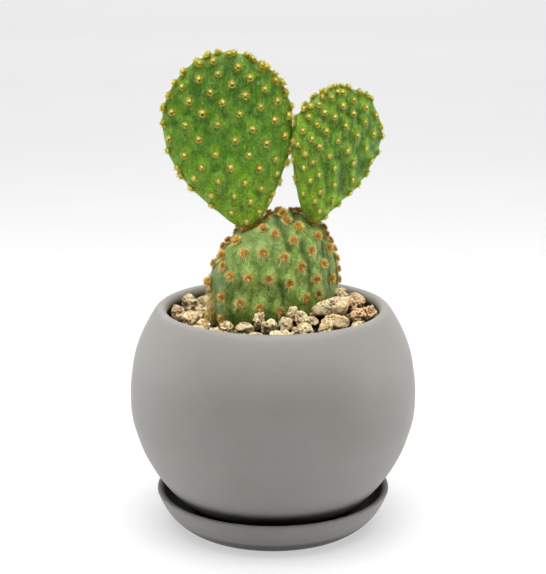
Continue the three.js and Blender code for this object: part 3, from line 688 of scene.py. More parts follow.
def painted_side_light_factor(x, up):
    """How much lighter the old pad is painted low down on its right side, as painted light, and how much darker on its
    left, as painted shade.
    """
    return 1 + 0.9 * np.interp(x, [-24, -17, -10, 4, 12, 17, 21], [-1.2, -0.4, 1, 1.1, 1.8, 1.4, 0]) * (1 - up)


def crowd(pad, near, start, end, step, slants, gap, seed):
    """More areoles along the pad's rim between two angles, where they stand close."""
    rng = np.random.default_rng(seed)
    e1, e2 = pad.round
    have = [pad.local[i] for i in near]
    found = []
    ang = np.degrees(np.arctan2(pad.rim[:, 1], pad.rim[:, 0])) % 360
    for slant in slants:
        a = start
        while a < end:
            q = pad.rim[np.argmin(np.abs(ang - a % 360))]
            w = slant + rng.uniform(-0.06, 0.06)
            p = np.array([q[0] * math.cos(w) ** e1, math.copysign(abs(math.sin(w)) ** e2, w) * pad.half, q[1] * math.cos(w) ** e1])
            if min(np.linalg.norm(p - o) for o in have) > gap:
                have.append(p)
                found.append((p[0], p[2], p[1]))
            a += math.degrees(step / np.hypot(*q)) * rng.uniform(0.8, 1.2)
    return found


base = Pad(BASE_PAD, 320, 124)
large = Pad(LARGE_PAD, 320, 104)
small = Pad(SMALL_PAD, 270, 92)
base_all = BASE_AREOLES + far_side(base, base.snap(BASE_AREOLES), 9.0, 6.4, 3, -20, 0.99)
LARGE_AREOLES = LARGE_AREOLES + crowd(large, large.snap(LARGE_AREOLES), 48, 128, 3.2, (-0.3,), 2.5, 61)
SMALL_AREOLES = SMALL_AREOLES + crowd(small, small.snap(SMALL_AREOLES), 52, 132, 2.5, (-0.34,), 2.1, 62)
SMALL_AREOLES = SMALL_AREOLES + crowd(small, small.snap(SMALL_AREOLES), 132, 214, 3.6, (-0.32,), 2.9, 63)
large_all = LARGE_AREOLES + far_side(large, large.snap(LARGE_AREOLES), 10.0, 5.8, 5, -36)
small_all = SMALL_AREOLES + far_side(small, small.snap(SMALL_AREOLES), 8.0, 4.8, 8, -29)
body(base, "old_stem_pad", "base_pad", BASE_SKIN, base_all, 0.9, 2.6, 4.2, 11, FURROWS, 0.5, side_light_factor=painted_side_light_factor)
base_tree = tree_of(base.mesh, base.faces)
body(large, "large_stem_pad", "large_pad", LARGE_SKIN, large_all, 0.55, 2.3, 3.2, 23, keep_off=(base_tree, 0.15))
body(small, "small_stem_pad", "small_pad", SMALL_SKIN, small_all, 0.95, 1.9, 3.6, 37, keep_off=(base_tree, 0.15))


# ---- bristles -----------------------------------------------------------------------------
BALLS = {k: icosphere(k) for k in (1, 2)}


class Bristles:
    """Fine three-sided spikes, gathered into one mesh."""

    def __init__(self, seed):
        self.rng = np.random.default_rng(seed)
        self.v, self.f, self.tip, self.tone, self.kind, self.n = [], [], [], [], [], 0

    def spike(self, root, way, length, thick, kind=0.0, bend=None, parts=1, tone=None):
        """A spike from root along way. bend pulls its end aside."""
        way = unit(way)
        side = unit(np.cross(way, [0.31, 0.77, 0.55]))
        other = np.cross(way, side)
        tone = 0.5 * self.rng.random() if tone is None else tone
        rings = []
        for k in range(parts):
            t = k / parts
            c = root + way * length * t + (0 if bend is None else bend * length * t * t)
            r = thick * (1 - 0.75 * t)
            for j in range(3):
                a = TAU * j / 3
                rings.append(c + r * (math.cos(a) * side + math.sin(a) * other))
        end = root + way * length + (0 if bend is None else bend * length)
        base_i = self.n
        self.v += rings + [end]
        for k in range(parts - 1):
            for j in range(3):
                a, b = base_i + 3 * k + j, base_i + 3 * k + (j + 1) % 3
                self.f += [(a, b, b + 3), (a, b + 3, a + 3)]
        last = base_i + 3 * (parts - 1)
        for j in range(3):
            self.f.append((last + j, last + (j + 1) % 3, base_i + 3 * parts))
        self.f.append((base_i + 2, base_i + 1, base_i))
        self.tip += [k / parts for k in range(parts) for _ in range(3)] + [1.0]
        self.tone += [tone] * (3 * parts + 1)
        self.kind += [kind] * (3 * parts + 1)
        self.n += 3 * parts + 1

    def felt(self, at, axes, radii, tip, tone, kind=0.0, level=2, lump=0.3):
        """A lumpy cushion of felt. axes and radii give its half widths."""
        sphere, tris = BALLS[level]
        seed = int(self.rng.integers(1, 10000))
        grow = 1 + lump * fbm(sphere * 1.0 + 3.7 * seed, 0.55, 2, seed)
        q = sphere * grow[:, None] * np.array(radii)
        v = at + q @ np.array(axes)
        self.f += (tris + self.n).tolist()
        self.v += list(v)
        # painted light on the lumps that stand out and painted shade in the dips between them
        self.tip += list(np.clip(tip + 1.1 * (grow - 1), 0, 1))
        self.tone += list(np.clip(tone - 1.6 * (grow - 1), 0, 1))
        self.kind += [kind] * len(v)
        self.n += len(v)

    def done(self, name, material):
        return make_mesh(name, self.v, [self.f], material, dict(tip=self.tip, tone=self.tone, kind=self.kind), smooth=False)


def tuft_frame(pad, i):
    n = pad.out_normal[i]
    up = np.array([0, 0, 1.0]) - n * n[2]
    up = unit(up) if np.linalg.norm(up) > 0.2 else unit(np.cross(n, [1.0, 0, 0]))
    return pad.mesh[i], n, up, np.cross(up, n)


def golden_tuft(b, pad, i, size, heart, rim=0.0):
    """A bright spiky cushion in a looser olive ring, on young growth with a dark spot that sits low. rim is 1 at the pad's edge."""
    at, n, up, side = tuft_frame(pad, i)
    rng = b.rng
    axes = (side, up, n)
    lean = rng.uniform(-0.12, 0.12) * size
    top = at + up * rng.uniform(0.2, 0.32) * size + side * lean
    b.felt(top + n * 0.1 * size, axes, (0.5 * size, 0.42 * size, 0.5 * size), 1.0, 0.0, lump=0.4)
    for _ in range(int(30 * size)):
        a, r = rng.uniform(0, TAU), size * 0.5 * math.sqrt(rng.random())
        out = math.cos(a) * side + math.sin(a) * up
        b.spike(top + out * r + n * 0.1 * size, n + out * (0.3 + 1.1 * r / size), size * rng.uniform(0.55, 0.85), 0.12 * size, 0.0, tone=rng.uniform(0, 0.2))
    if heart > 0.15:
        r = (0.2 + 0.15 * heart) * size
        spot = at - up * rng.uniform(0.34, 0.46) * size + side * (lean + rng.uniform(-0.12, 0.15) * size)
        b.felt(spot + n * 0.1 * size, axes, (r, r * 1.1, 0.6 * size), 0.1, 0.0, kind=0.6 + 0.4 * heart, level=1)
        for _ in range(int(22 * size)):
            a = -math.pi / 2 + rng.uniform(-1.9, 1.9)
            out = math.cos(a) * side + math.sin(a) * up
            b.spike(spot + out * (r + 0.12 * size), n * rng.uniform(0.6, 1.4) + out * 0.7, size * rng.uniform(0.5, 0.8), 0.12 * size, 0.0, tone=rng.uniform(0, 0.5))
    else:
        low = at - up * 0.3 * size + side * lean
        b.felt(low, axes, (0.42 * size, 0.4 * size, 0.42 * size), 0.7, 0.3, lump=0.45)
        for _ in range(int(22 * size)):
            a = -math.pi / 2 + rng.uniform(-2.2, 2.2)
            out = math.cos(a) * side + math.sin(a) * up
            b.spike(low + out * 0.25 * size, n + out * rng.uniform(0.4, 1.2), size * rng.uniform(0.5, 0.9), 0.12 * size, 0.0, tone=rng.uniform(0, 0.5))
    for _ in range(int(48 * size)):
        a, r = rng.uniform(0, TAU), size * rng.uniform(0.5, 0.9)
        out = math.cos(a) * side + math.sin(a) * up
        b.spike(at + out * r - n * 0.15, n * rng.uniform(0.4, 1.0) + out, size * rng.uniform(0.4, 0.85), 0.115 * size, 0.0, tone=rng.uniform(0.2, 0.9))
    for _ in range(int(30 * size)):
        a = rng.uniform(0, TAU)
        out = math.cos(a) * side + math.sin(a) * up
        b.spike(at + out * size * rng.uniform(0.8, 1.1) - n * 0.1, n * rng.uniform(0.2, 0.6) + out, size * rng.uniform(0.3, 0.65), 0.11 * size, 0.15 * rng.random(), tone=rng.uniform(0.7, 1.0))
    for _ in range(int(36 * size * rim)):
        a, r = rng.uniform(0, TAU), size * rng.uniform(0, 0.75)
        out = math.cos(a) * side + math.sin(a) * up
        b.spike(at + out * r, n + out * 0.55, size * rng.uniform(0.9, 1.6), 0.125 * size, 0.0, parts=2, tone=rng.uniform(0.0, 0.9))
    for _ in range(int(10 * size * rim)):
        a = rng.uniform(0, TAU)
        out = math.cos(a) * side + math.sin(a) * up
        b.spike(at + out * 0.3 * size, n + out * 0.8, size * rng.uniform(0.6, 1.1), 0.14, 0.8)
    for _ in range(int(rng.integers(2, 6))):
        a = rng.uniform(0, TAU) if rng.random() < 0.4 else -math.pi / 2 + rng.uniform(-1.1, 1.1)
        out = math.cos(a) * side + math.sin(a) * up
        b.spike(at + out * 0.5 * size, n * 0.7 + out, size * rng.uniform(1.2, 1.9), 0.08, 0.0, bend=-up * 0.2, parts=2, tone=0.1)


def rusty_tuft(b, pad, i, size, rays, rim=0.0, deep=0.0):
    """A small cushion of rust-coloured felt in a star of tan and pale spines, of which a few hang down."""
    at, n, up, side = tuft_frame(pad, i)
    rng = b.rng
    axes = (side, up, n)
    b.felt(at, axes, (0.86 * size, 0.82 * size, 0.34 * size), 0.5, 0.4 + deep, lump=0.5)
    tilt = up * rng.uniform(-0.1, 0.2) * size + side * rng.uniform(-0.15, 0.15) * size
    high = (0.62 + 0.35 * rim) * size
    b.felt(at + n * 0.1 * size + tilt, axes, (0.54 * size, 0.5 * size, high), rng.uniform(0.15, 0.4), 0.8 + deep, lump=0.5)
    if size > 1.6:
        for _ in range(3):
            w = unit(rng.normal(size=3) + n * 0.3)
            spot = at + w * 0.62 * size + n * 0.25 * size
            b.felt(spot, axes, (0.5 * size, 0.5 * size, 0.5 * size), rng.uniform(0.2, 0.5), rng.uniform(0.4, 1.0) + deep, lump=0.5)
            for _ in range(44):
                w = unit(rng.normal(size=3) + n * 0.6)
                b.spike(spot + w * 0.36 * size, w, rng.uniform(0.5, 1.1), 0.15, 0.6 * (rng.random() < 0.15), tone=rng.uniform(0, 1.0) + deep)
    for _ in range(int((62 + 34 * rim) * size)):
        a, r = rng.uniform(0, TAU), size * 0.66 * math.sqrt(rng.random())
        out = math.cos(a) * side + math.sin(a) * up
        dome = math.sqrt(max(0.0, 1 - (r / (0.8 * size)) ** 2))
        b.spike(at + tilt + out * r + n * 0.6 * high * dome, n + out * (0.3 + 1.1 * r / size), size * rng.uniform(0.35, 0.85), 0.125 * size, 0.6 * (rng.random() < 0.14), tone=rng.uniform(0.0, 1.1) + deep)
    low = at - up * rng.uniform(0.1, 0.5) * size + side * rng.uniform(-0.35, 0.35) * size + n * 0.5 * size
    for _ in range(int(12 * size)):
        out = rng.uniform(-1, 1) * side - up * rng.uniform(0, 1.2)
        b.spike(low + out * 0.15 * size, n + out * 0.5, size * rng.uniform(0.5, 0.9), 0.16, rng.uniform(0.5, 1.0))
    for _ in range(int(88 * size)):
        a = rng.uniform(0, TAU)
        out = math.cos(a) * side + math.sin(a) * up
        b.spike(at + out * size * rng.uniform(0.5, 0.95), n * rng.uniform(0.1, 1.0) + out, size * rng.uniform(0.4, 0.95), 0.13, rng.uniform(0.1, 0.9) * (1 - 0.6 * deep), tone=rng.uniform(0, 0.5) + 0.6 * deep)
    for k in range(2 * rays):
        a = TAU * (k + rng.uniform(-0.6, 0.6)) / (2 * rays)
        out = math.cos(a) * side + math.sin(a) * up
        b.spike(at + out * size * rng.uniform(0.5, 0.9), n * rng.uniform(0.1, 0.9) + out, size * rng.uniform(0.8, 1.45), 0.125, rng.uniform(0.3, 1.0), bend=-up * rng.uniform(0, 0.2), parts=2, tone=0.0)
    for _ in range(int(28 * size)):
        a = rng.uniform(0, TAU)
        out = math.cos(a) * side + math.sin(a) * up
        b.spike(at + out * size * rng.uniform(0.9, 1.3) - n * 0.1, n * 0.25 + out, size * rng.uniform(0.5, 0.9), 0.13, rng.uniform(0.0, 0.5), tone=rng.uniform(0.2, 0.8))
    for _ in range(int(14 * size)):
        a = rng.uniform(0, TAU)
        out = math.cos(a) * side + math.sin(a) * up
        b.spike(at + out * size * 0.9, n * rng.uniform(0.1, 0.5) + out, size * rng.uniform(0.3, 0.6), 0.13, 0.0, tone=rng.uniform(0.7, 1.0))
    for _ in range(int(rng.integers(2, 6))):
        a = -math.pi / 2 + rng.uniform(-0.9, 0.9)
        out = math.cos(a) * side + math.sin(a) * up
        b.spike(at + out * 0.8 * size, n * rng.uniform(0.3, 0.7) + out, size * rng.uniform(1.3, 2.2), 0.12, rng.uniform(0.6, 0.9), bend=-up * rng.uniform(0.1, 0.4), parts=3, tone=0.0)


def rim_of(pad, i):
    """1 where an areole sits on the pad's edge, 0 on its faces."""
    return float(np.clip((pad.edge[i] - 0.9) / 0.08, 0, 1))


b = Bristles(101)
for k, i in enumerate(large.areoles):
    z = large.local[i][2]
    rim = rim_of(large, i)
    heart = float(np.clip((z + 14) / 10, 0, 1)) * (1 - 0.6 * rim) * b.rng.uniform(0.45, 1.0)
    golden_tuft(b, large, i, (1.3 if z > -14 else 1.16) * (1 + 0.1 * rim) * b.rng.uniform(0.88, 1.12), heart, rim * float(np.clip((z + 22) / 12, 0.35, 1)))
b.done("large_pad_bristles", GOLD_TUFT)
b = Bristles(202)
for k, i in enumerate(small.areoles):
    z = small.local[i][2]
    rim = rim_of(small, i)
    heart = float(np.clip((z + 2) / 8, 0, 1)) * b.rng.uniform(0.15, 0.7) * (1 - rim)
    golden_tuft(b, small, i, (1.16 if z > -12 else 1.06) * (1 + 0.04 * rim) * b.rng.uniform(0.85, 1.12), heart, rim * float(np.clip((z + 18) / 10, 0.35, 1)))
b.done("small_pad_bristles", GOLD_TUFT)
# size and darkness of the old pad's tufts that differ from the rest
TUFT_KINDS = {
    0: (1.05, 0.0), 2: (1.1, 0.0), 5: (1.2, 0.0), 6: (1.1, 0.1), 7: (1.0, 0.35), 8: (0.95, 1.1), 9: (1.2, -0.3), 10: (1.0, 0.6),
    11: (0.95, 0.6), 12: (1.15, -0.2), 14: (0.95, 0.2), 20: (1.05, 0.7), 21: (1.0, 0.7), 22: (1.0, 0.5), 35: (1.4, -0.4), 36: (0.85, 0.4),
    42: (1.2, -0.3), 45: (0.7, 0.5), 46: (1.1, 0.6), 47: (1.15, -0.2), 48: (0.9, 0.8), 49: (0.85, 1.1),
}
b = Bristles(303)
for k, i in enumerate(base.areoles):
    z = base.mesh[i][2]
    if z < 88:
        continue
    x, _, up_z = base.local[i]
    crest = up_z > 24
    rim = max(rim_of(base, i), float(crest))
    size, deep = TUFT_KINDS.get(k, (1.0, b.rng.uniform(-0.1, 0.35)))
    rusty_tuft(b, base, i, b.rng.uniform(1.36, 1.56) * size, int(b.rng.integers(11, 16)) if up_z < 16 else 7, rim, deep)


def joint_band(b, pad, tree, lowest, lift):
    """The crowded rusty bristles and cork where a young pad grew out of the old one."""
    v = pad.mesh
    near = [i for i in np.where(v[:, 2] < lowest)[0] if tree.find_nearest(Vector(v[i]))[3] < 0.6]
    rng = b.rng
    rng.shuffle(near)
    used = []
    for i in near:
        if all(np.linalg.norm(v[i] - u) > 1.0 for u in used):
            used.append(v[i])
            at, n, _, _ = tree.find_nearest(Vector(v[i]))
            at, n = np.array(at), np.array(n)
            out = unit(pad.out_normal[i] - n * (pad.out_normal[i] @ n))
            big = rng.uniform(0.75, 1.25)
            along = unit(np.cross(out, n))
            r = rng.uniform(0.55, 0.9)
            b.felt(at + out * 0.6 + n * lift, (along, out, n), (r, 0.85 * r, r * rng.uniform(1.0, 1.4)), rng.uniform(0.0, 0.4), rng.uniform(1.0, 1.9), level=1, lump=0.5)
            for _ in range(28):
                w = rng.normal(size=3) * 0.7
                start = at + rng.normal(size=3) * 0.45 + n * (lift + rng.uniform(-0.7, 0.5)) + out * rng.uniform(0.1, 1.2)
                b.spike(start, n * 0.7 + out * 0.9 + w, big * rng.uniform(0.6, 1.3), 0.15, 0.8 * (rng.random() < 0.08), tone=rng.uniform(0.2, 2.0))


joint_band(b, large, base_tree, 142, 0.8)
joint_band(b, small, base_tree, 142, 1.3)


def foot_felt(b, trees, spots):
    """Small rusty cushions in front of a young pad's foot."""
    rng = b.rng
    for x, z, r in spots:
        hits = [t.ray_cast(Vector((x, -60, z)), Vector((0, 1, 0))) for t in trees]
        hits = [h for h in hits if h[0] is not None]
        if not hits:
            continue
        hit = min(hits, key=lambda h: h[0].y)
        at, n = np.array(hit[0]), np.array(hit[1])
        if n[1] > 0:
            n = -n
        along = unit(np.cross((0, 0, 1), n))
        up = np.cross(n, along)
        b.felt(at + n * 0.25, (along, up, n), (r, 0.8 * r, 0.6 * r), rng.uniform(0.1, 0.4), rng.uniform(0.6, 1.3), level=1, lump=0.5)
        for _ in range(int(60 * r)):
            w = rng.normal(size=3) * 0.6
            start = at + along * rng.normal() * 0.5 * r + up * rng.normal() * 0.4 * r + n * rng.uniform(0, 0.5)
            b.spike(start, n + w, rng.uniform(0.5, 1.1), 0.15, 0.8 * (rng.random() < 0.14), tone=rng.uniform(0.1, 1.5))


foot_felt(
    b, (base_tree, tree_of(large.mesh, large.faces)),
    [(-14.6, 129.0, 0.8), (-13.6, 128.5, 0.85), (-12.6, 128.3, 0.85), (-11.6, 128.4, 0.85), (-10.7, 128.8, 0.75)],
)
foot_felt(
    b, (base_tree, tree_of(small.mesh, small.faces)),
    [(15.9, 130.9, 0.5), (16.8, 131.0, 0.7), (17.5, 130.3, 0.75), (18.3, 129.9, 0.7), (19.1, 130.1, 0.55)],
)


def strands(b, count):
    """Dry golden bristles that hang down the old stem's left edge to the bed."""
    v = base.mesh
    spots = np.where((v[:, 0] < -23.6) & (v[:, 2] > 88.5) & (v[:, 2] < 104) & (v[:, 1] > -11) & (v[:, 1] < -1))[0]
    rng = b.rng
    for i in rng.choice(spots, count, replace=False):
        at, n = v[i], base.out_normal[i]
        way = np.array([rng.uniform(-0.45, 0.1), rng.uniform(-0.35, 0.15), -1.0]) + n * rng.uniform(0.3, 1.0)
        length = min(rng.uniform(2.2, 5.0), at[2] - 85.5)
        b.spike(at - n * 0.1, way, length, rng.uniform(0.08, 0.12), rng.uniform(0.1, 0.8), bend=n * rng.uniform(-0.15, 0.2), parts=3, tone=rng.uniform(0, 0.5))


strands(b, 150)
b.done("old_pad_bristles", RUST_TUFT)


# ---- growing mix -----------------------------------------------------------------------------
SOIL_TOP, SLOPE_X, SLOPE_Y, MOUTH_R = 85.6, 0.055, 0.045, 44.2


def soil_height(x, y):
    """The bed's top: a tilted plane, heaped up round the old stem."""
    a = math.radians(BASE_PAD["turn"])
    dx, dy = x - BASE_PAD["centre"][0], y - BASE_PAD["centre"][1]
    r = np.hypot(dx, dy) + 1e-9
    u, v = (dx * math.cos(a) + dy * math.sin(a)) / r, (-dx * math.sin(a) + dy * math.cos(a)) / r
    w = np.clip((MOUTH_R - r) / (MOUTH_R - 1 / np.hypot(u / 27, v / 15)), 0, 1)
    return SOIL_TOP + SLOPE_X * x + SLOPE_Y * y + (4.4 + 0.13 * np.maximum(0, x)) * w * w


def soil_mesh():
    cols = 200
    a = np.arange(cols) * TAU / cols
    ring = np.stack([np.cos(a), np.sin(a)], 1)
    c = base.centre[:2]
    rings = []

    def stem_radius(z):
        out = []
        for k in range(cols):
            hit = base_tree.ray_cast(Vector((c[0], c[1], z[k] if np.ndim(z) else z)), Vector((ring[k, 0], ring[k, 1], 0)))
            out.append(hit[3] if hit[0] is not None else 0.5)
        return np.array(out) + 0.35

    for z in np.linspace(67.2, 84.5, 9):
        r = stem_radius(z)
        rings.append(np.column_stack([c + ring * r[:, None], np.full(cols, z)]))
    z_in = soil_height(c[0] + ring[:, 0] * 24, c[1] + ring[:, 1] * 15)
    inner = np.column_stack([c + ring * stem_radius(z_in)[:, None], z_in])
    outer = np.column_stack([ring * MOUTH_R, np.zeros(cols)])
    grain = []
    for t in np.linspace(0, 1, 46):
        p = inner * (1 - t) + outer * t
        p[:, 2] = soil_height(p[:, 0], p[:, 1])
        fade = min(1.0, 8 * t, 8 * (1 - t))
        p[:, 2] += fade * (0.9 * fbm(p * [1, 1, 0], 5, 3, 3) + 0.7 * np.abs(fbm(p * [1, 1, 0], 1.6, 2, 9)) - 0.25)
        grain.append(p)
    rings += grain
    wall = [(48.7, 81.6)] + [(r - 0.45, z + (0.4 if z < 50 else 0)) for r, z in POT_INNER[3:-1]]
    wall += [(17.8, 11.4), (10.8, 11.3), (10, 12.8)]
    for r, z in resample(np.array(wall), 34):
        rings.append(np.column_stack([ring * r, np.full(cols, z)]))
    v = np.concatenate(rings + [np.array([[c[0], c[1], 66.0], [0, 0, 12.8]])])
    rows = len(rings)
    k = np.arange(cols)
    nxt = (k + 1) % cols
    quads = grid_faces(rows, cols)
    last = (rows - 1) * cols
    tris = np.concatenate([np.stack([np.full(cols, rows * cols), nxt, k], 1), np.stack([np.full(cols, rows * cols + 1), last + k, last + nxt], 1)])
    ob = make_mesh("growing_mix_bed", v, [quads[:, ::-1], tris[:, ::-1]], SOIL)
    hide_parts("growing_mix")
    return ob


soil_mesh()


# ---- gravel -------------------------------------------------------------------------------------
SPHERES = {k: icosphere(k) for k in (2, 4, 5)}
BRIGHT, DULL = (3, 5, 6, 7, 8, 9, 10, 11, 12, 13, 14, 45, 50), (17, 18, 19, 33, 47)
stone_points, stone_faces = [], []


def stone(node, k):
    """A rough porous stone, about the hull of its node."""
    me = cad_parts[node].data
    co = np.array([v.co[:] for v in me.vertices]) / MM
    planes = {}
    for p in me.polygons:
        n = np.array(p.normal[:])
        off = float(n @ co[p.vertices[0]])
        planes[tuple(np.round([*n, off], 2))] = (n, off)
    n = np.array([x[0] for x in planes.values()])
    off = np.array([x[1] for x in planes.values()])
    c = (co.max(0) + co.min(0)) / 2
    room = off - n @ c
    if room.min() < 0.6:
        c = co.mean(0)
        room = off - n @ c
    extent = float(np.prod(co.max(0) - co.min(0)) ** (1 / 3)) / 2
    dirs, faces = SPHERES[4 if extent < 2.9 else 5]
    towards = dirs @ n.T
    with np.errstate(divide="ignore"):
        t = np.where(towards > 1e-6, room[None, :] / np.maximum(towards, 1e-6), np.inf)
    reach = (t**-44.0).sum(1) ** (-1 / 44.0)
    size = reach.mean()
    p = c + dirs * reach[:, None]
    rng = np.random.default_rng(900 + k)
    q = p + 40 * k
    smooth = 0.45 if k == 14 else 1.0
    lumps = fbm(q, 3.6, 2, k)
    crags = np.abs(fbm(q, 2.0, 2, k + 100))
    rough = np.abs(fbm(q, 0.9, 2, k + 200))
    inward = smooth * (0.7 * (0.35 - lumps) + 1.8 * crags) + 0.7 * rough - 0.6
    # flakes have broken off flat, and a hollow or two is worn in; the deeper recesses and these hollows get painted
    # shade
    for _ in range(7):
        w = unit(rng.normal(size=3))
        top = (p @ w).max()
        cut = top - rng.uniform(0.06, 0.3) * size * smooth
        inward = np.maximum(inward, np.where(dirs @ w > 0.2, ((p @ w) - cut) / np.maximum(dirs @ w, 0.2), 0))
    dent_shade = np.zeros(len(p))
    for _ in range(3):
        j = np.argmax(dirs @ unit(rng.normal(size=3) + np.array([0, -0.5, 0.3])))
        r = rng.uniform(0.26, 0.5) * size * smooth
        g = np.clip(1 - np.sqrt(((p - p[j]) ** 2).sum(1)) / r, 0, 1)
        inward += 0.55 * r * g
        dent_shade = np.maximum(dent_shade, np.clip(g * 2.2, 0, 1) * rng.uniform(0.3, 1.0))
    # pits, cut into the surface and painted dark inside as painted shade
    pit = np.zeros(len(p))
    for _ in range(int(np.clip(size * size * 2.2, 18, 110))):
        j = np.argmax(dirs @ unit(rng.normal(size=3)))
        r = rng.uniform(0.3, 0.85)
        g = np.clip(1.25 - 1.25 * (np.sqrt(((p - p[j]) ** 2).sum(1)) / r) ** 2, 0, 1)
        inward += g * r * rng.uniform(0.4, 0.8)
        pit = np.maximum(pit, g * rng.uniform(0.5, 1.0))
    reach = np.maximum(reach - inward, 0.4 * reach)
    v = c + dirs * reach[:, None]
    # painted shade, most where the surface is cut furthest in and in the worn hollows
    painted_recess_shade = np.clip((inward - np.median(inward)) / 0.8, 0, 1) * 0.6 + 0.4 * dent_shade
    across = v[faces]
    flat = unit(np.cross(across[:, 1] - across[:, 0], across[:, 2] - across[:, 0]))
    nz = np.zeros(len(v))
    for j in range(3):
        np.add.at(nz, faces[:, j], flat[:, 2] / 6)
    if (flat * (across.mean(1) - c)).sum() < 0:
        nz = -nz
    # painted shade on the faces that look down
    under = np.clip(0.2 - nz * 1.4, 0, 1) * rng.uniform(0.5, 1.0)
    if k == 8:  # this one gets painted shade over all but its top and its left edge
        under = np.maximum(under, 0.95 * np.clip((v[:, 2].max() - 2.0 - v[:, 2]) / 0.8, 0, 1) * (v[:, 0] > v[:, 0].min() + 1.2))
    ob = make_mesh(
        node + "_rock", v, [faces], STONE,
        dict(pit=np.clip(pit, 0, 1) ** 1.6, painted_recess_shade=painted_recess_shade, under=under, tone=np.full(len(v), 1.4 if k in DULL else rng.random() * (0.3 if k in BRIGHT else 0.8))),
    )
    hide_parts(node)
    stone_points.append(v)
    stone_faces.append(faces)


for k in range(1, 55):
    stone("stone_%02d" % k, k)


def chips():
    """Small broken bits that lie in the hollows between the stones."""
    tree = BVHTree.FromPolygons(ALL_POINTS, ALL_FACES)
    rng = np.random.default_rng(4242)
    verts, faces, pit, tone, n = [], [], [], [], 0
    kept = []
    down = Vector((0, 0, -1))

    def top(x, y):
        bed = float(soil_height(np.array([x]), np.array([y]))[0])
        hit = tree.ray_cast(Vector((x, y, 112)), down)[0]
        return max(bed, hit.z) if hit is not None else bed

    for trial in range(5200):
        big = trial < 1500
        if sum(1 for q in kept if q[3] > 1.05) >= 42 and big:
            continue
        if len(kept) >= 180:
            break
        r = rng.uniform(1.1, 1.9) if big else rng.uniform(0.35, 0.9)
        a, d = rng.uniform(0, TAU), 43.2 * math.sqrt(rng.random())
        x, y = d * math.cos(a), d * math.sin(a)
        if d > 43.6 - r:
            continue
        h = top(x, y)
        if h > 101:
            continue
        around = [top(x + 1.3 * r * math.cos(q), y + 1.3 * r * math.sin(q)) for q in np.arange(6) * TAU / 6]
        if sum(z > h + 0.25 * r for z in around) < 3 and not (h < 92 and not big):
            continue
        c = np.array([x, y, h + 0.6 * r])
        at, nn, _, dist = base_tree.find_nearest(Vector(c))
        if dist < 0.9 * r or (Vector(c) - at).dot(nn) < 0:
            continue
        if any(np.linalg.norm(c - q[:3]) < 0.85 * (r + q[3]) for q in kept):
            continue
        near = tree.find_nearest(Vector(c))
        if near[3] < 0.45 * r:
            continue
        kept.append(np.array([*c, r]))
        sv, sf = SPHERES[2]
        stretch = rng.uniform(0.7, 1.15, 3)
        stretch[2] *= 0.8
        q = sv * stretch
        spin = rng.uniform(0, TAU)
        q = q @ np.array([[math.cos(spin), -math.sin(spin), 0], [math.sin(spin), math.cos(spin), 0], [0, 0, 1]])
        lumps = fbm(sv * 1.4 + 9.7 * trial, 1.0, 2, trial) * 0.3 - 0.3 * np.abs(fbm(sv * 3 + 5.1 * trial, 1.0, 2, trial + 3))
        for _ in range(5):
            w = unit(rng.normal(size=3))
            lumps = np.minimum(lumps, rng.uniform(0.72, 0.9) / np.maximum(sv @ w, 0.2) - 1)
        q = q * (1 + lumps)[:, None] * r
        verts.append(q + c)
        faces.append(sf + n)
        n += len(sv)
        # painted shade where the chip's surface is cut in
        pit.append(np.clip(-lumps * 1.6 - 0.1, 0, 0.8))
        tone.append(np.full(len(sv), rng.uniform(0.2, 1.6)))
    zero = np.zeros(n)
    make_mesh("gravel_chips", np.concatenate(verts), [np.concatenate(faces)], STONE, dict(pit=np.concatenate(pit), painted_recess_shade=zero, under=zero, tone=np.concatenate(tone)), smooth=False)


ALL_POINTS = [tuple(q) for t in stone_points for q in t]
ALL_FACES = []
offset = 0
for t, f in zip(stone_points, stone_faces):
    ALL_FACES += [tuple(x) for x in (f + offset).tolist()]
    offset += len(t)
chips()


# ---- light, floor and camera -----------------------------------------------------------------------
def floor_look():
    k = Look("pale_floor")
    colour = k.mix(k.span(k.noise(90, 2), 0.3, 0.7), (0.375, 0.375, 0.375), (0.385, 0.385, 0.385))
    return k.set(Base_Color=colour, Roughness=0.9, Specular_IOR_Level=0.1, Emission_Color=(1, 1, 1, 1), Emission_Strength=0.52).m


me = bpy.data.meshes.new("floor")
me.from_pydata([(-6, -4, 0), (6, -4, 0), (6, 9, 0), (-6, 9, 0)], [], [(0, 1, 2, 3)])
floor = bpy.data.objects.new("floor", me)
bpy.context.scene.collection.objects.link(floor)
me.materials.append(floor_look())

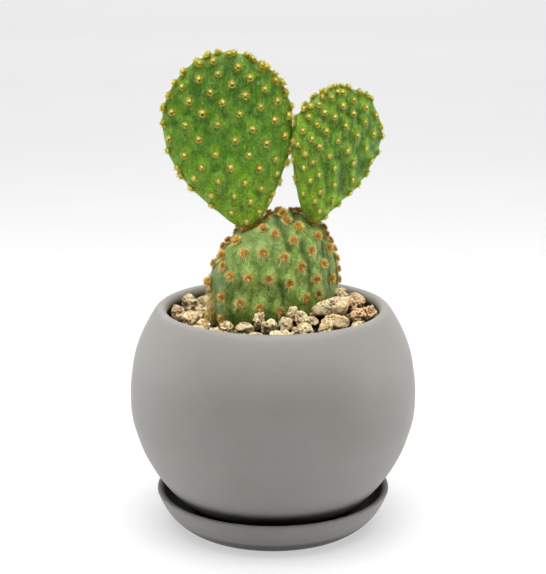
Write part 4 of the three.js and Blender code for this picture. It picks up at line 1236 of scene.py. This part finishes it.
# a pale backdrop far behind the floor, all round, which adds no light of its own to the object
rows, cols = 14, 48
dome = [
    (11.6 * math.cos(e) * math.cos(a), 11.6 * math.cos(e) * math.sin(a), 11.6 * math.sin(e))
    for e in np.linspace(-0.2, 1.5, rows) for a in np.arange(cols) * TAU / cols
]
me = bpy.data.meshes.new("backdrop")
me.from_pydata(dome, [], grid_faces(rows, cols).tolist())
backdrop = bpy.data.objects.new("backdrop", me)
bpy.context.scene.collection.objects.link(backdrop)
k = Look("pale_backdrop")
me.materials.append(k.set(Base_Color=(0, 0, 0, 1), Roughness=1.0, Specular_IOR_Level=0.0, Emission_Color=(1, 1, 1, 1), Emission_Strength=0.72).m)
backdrop.visible_diffuse = backdrop.visible_glossy = backdrop.visible_transmission = backdrop.visible_shadow = False

world = bpy.data.worlds.new("studio")
bpy.context.scene.world = world
world.use_nodes = True
world.node_tree.nodes["Background"].inputs[0].default_value = (1, 1, 1, 1)
world.node_tree.nodes["Background"].inputs[1].default_value = 0.01


def softbox(name, place, aim, width, height, power, spread=math.pi):
    light = bpy.data.lights.new(name, "AREA")
    light.shape = "RECTANGLE"
    light.size, light.size_y, light.energy, light.spread = width, height, power, spread
    ob = bpy.data.objects.new(name, light)
    bpy.context.scene.collection.objects.link(ob)
    ob.location = place
    ob.rotation_euler = (Vector(aim) - Vector(place)).to_track_quat("-Z", "Y").to_euler()
    ob.visible_camera = False


softbox("top_front", (0, -0.6, 1.15), (0, 0, 0.1), 0.9, 0.9, 5.6)
softbox("top_strip", (0, -0.35, 1.25), (0, -0.05, 0.1), 1.6, 0.6, 3.8, 1.6)
softbox("overhead", (0, 0, 1.3), (0, 0, 0.1), 0.8, 0.8, 2.2, 1.6)
softbox("back_wall", (0, 2.2, 1.35), (0, 0, 0.3), 5.0, 1.6, 9.2)
softbox("back_panel", (0, 1.5, 0.7), (0, 0, 0.2), 2.4, 1.0, 1.2)
softbox("floor_near", (0, 2.8, 2.4), (0, 2.81, 0), 5.0, 4.4, 70.0)
softbox("floor_far", (0, 5.5, 3.0), (0, 5.51, 0), 6.0, 5.0, 77.0)
for hand, x in (("left", -1), ("right", 1)):
    softbox(hand + "_strip", (1.0 * x, 0.1, 0.12), (0, 0, 0.06), 0.9, 0.22, 4.45)

camera = bpy.data.cameras.new("camera")
camera.sensor_width = 36
camera.lens = 1517.0 / 574 * 36
camera.clip_start, camera.clip_end = 0.05, 40
eye = bpy.data.objects.new("camera", camera)
bpy.context.scene.collection.objects.link(eye)
eye.location = (0, -0.6133, 0.2539)
eye.rotation_euler = (math.radians(90 - 13.89), 0, 0)
bpy.context.scene.camera = eye
bpy.context.scene.view_settings.view_transform = "Standard"
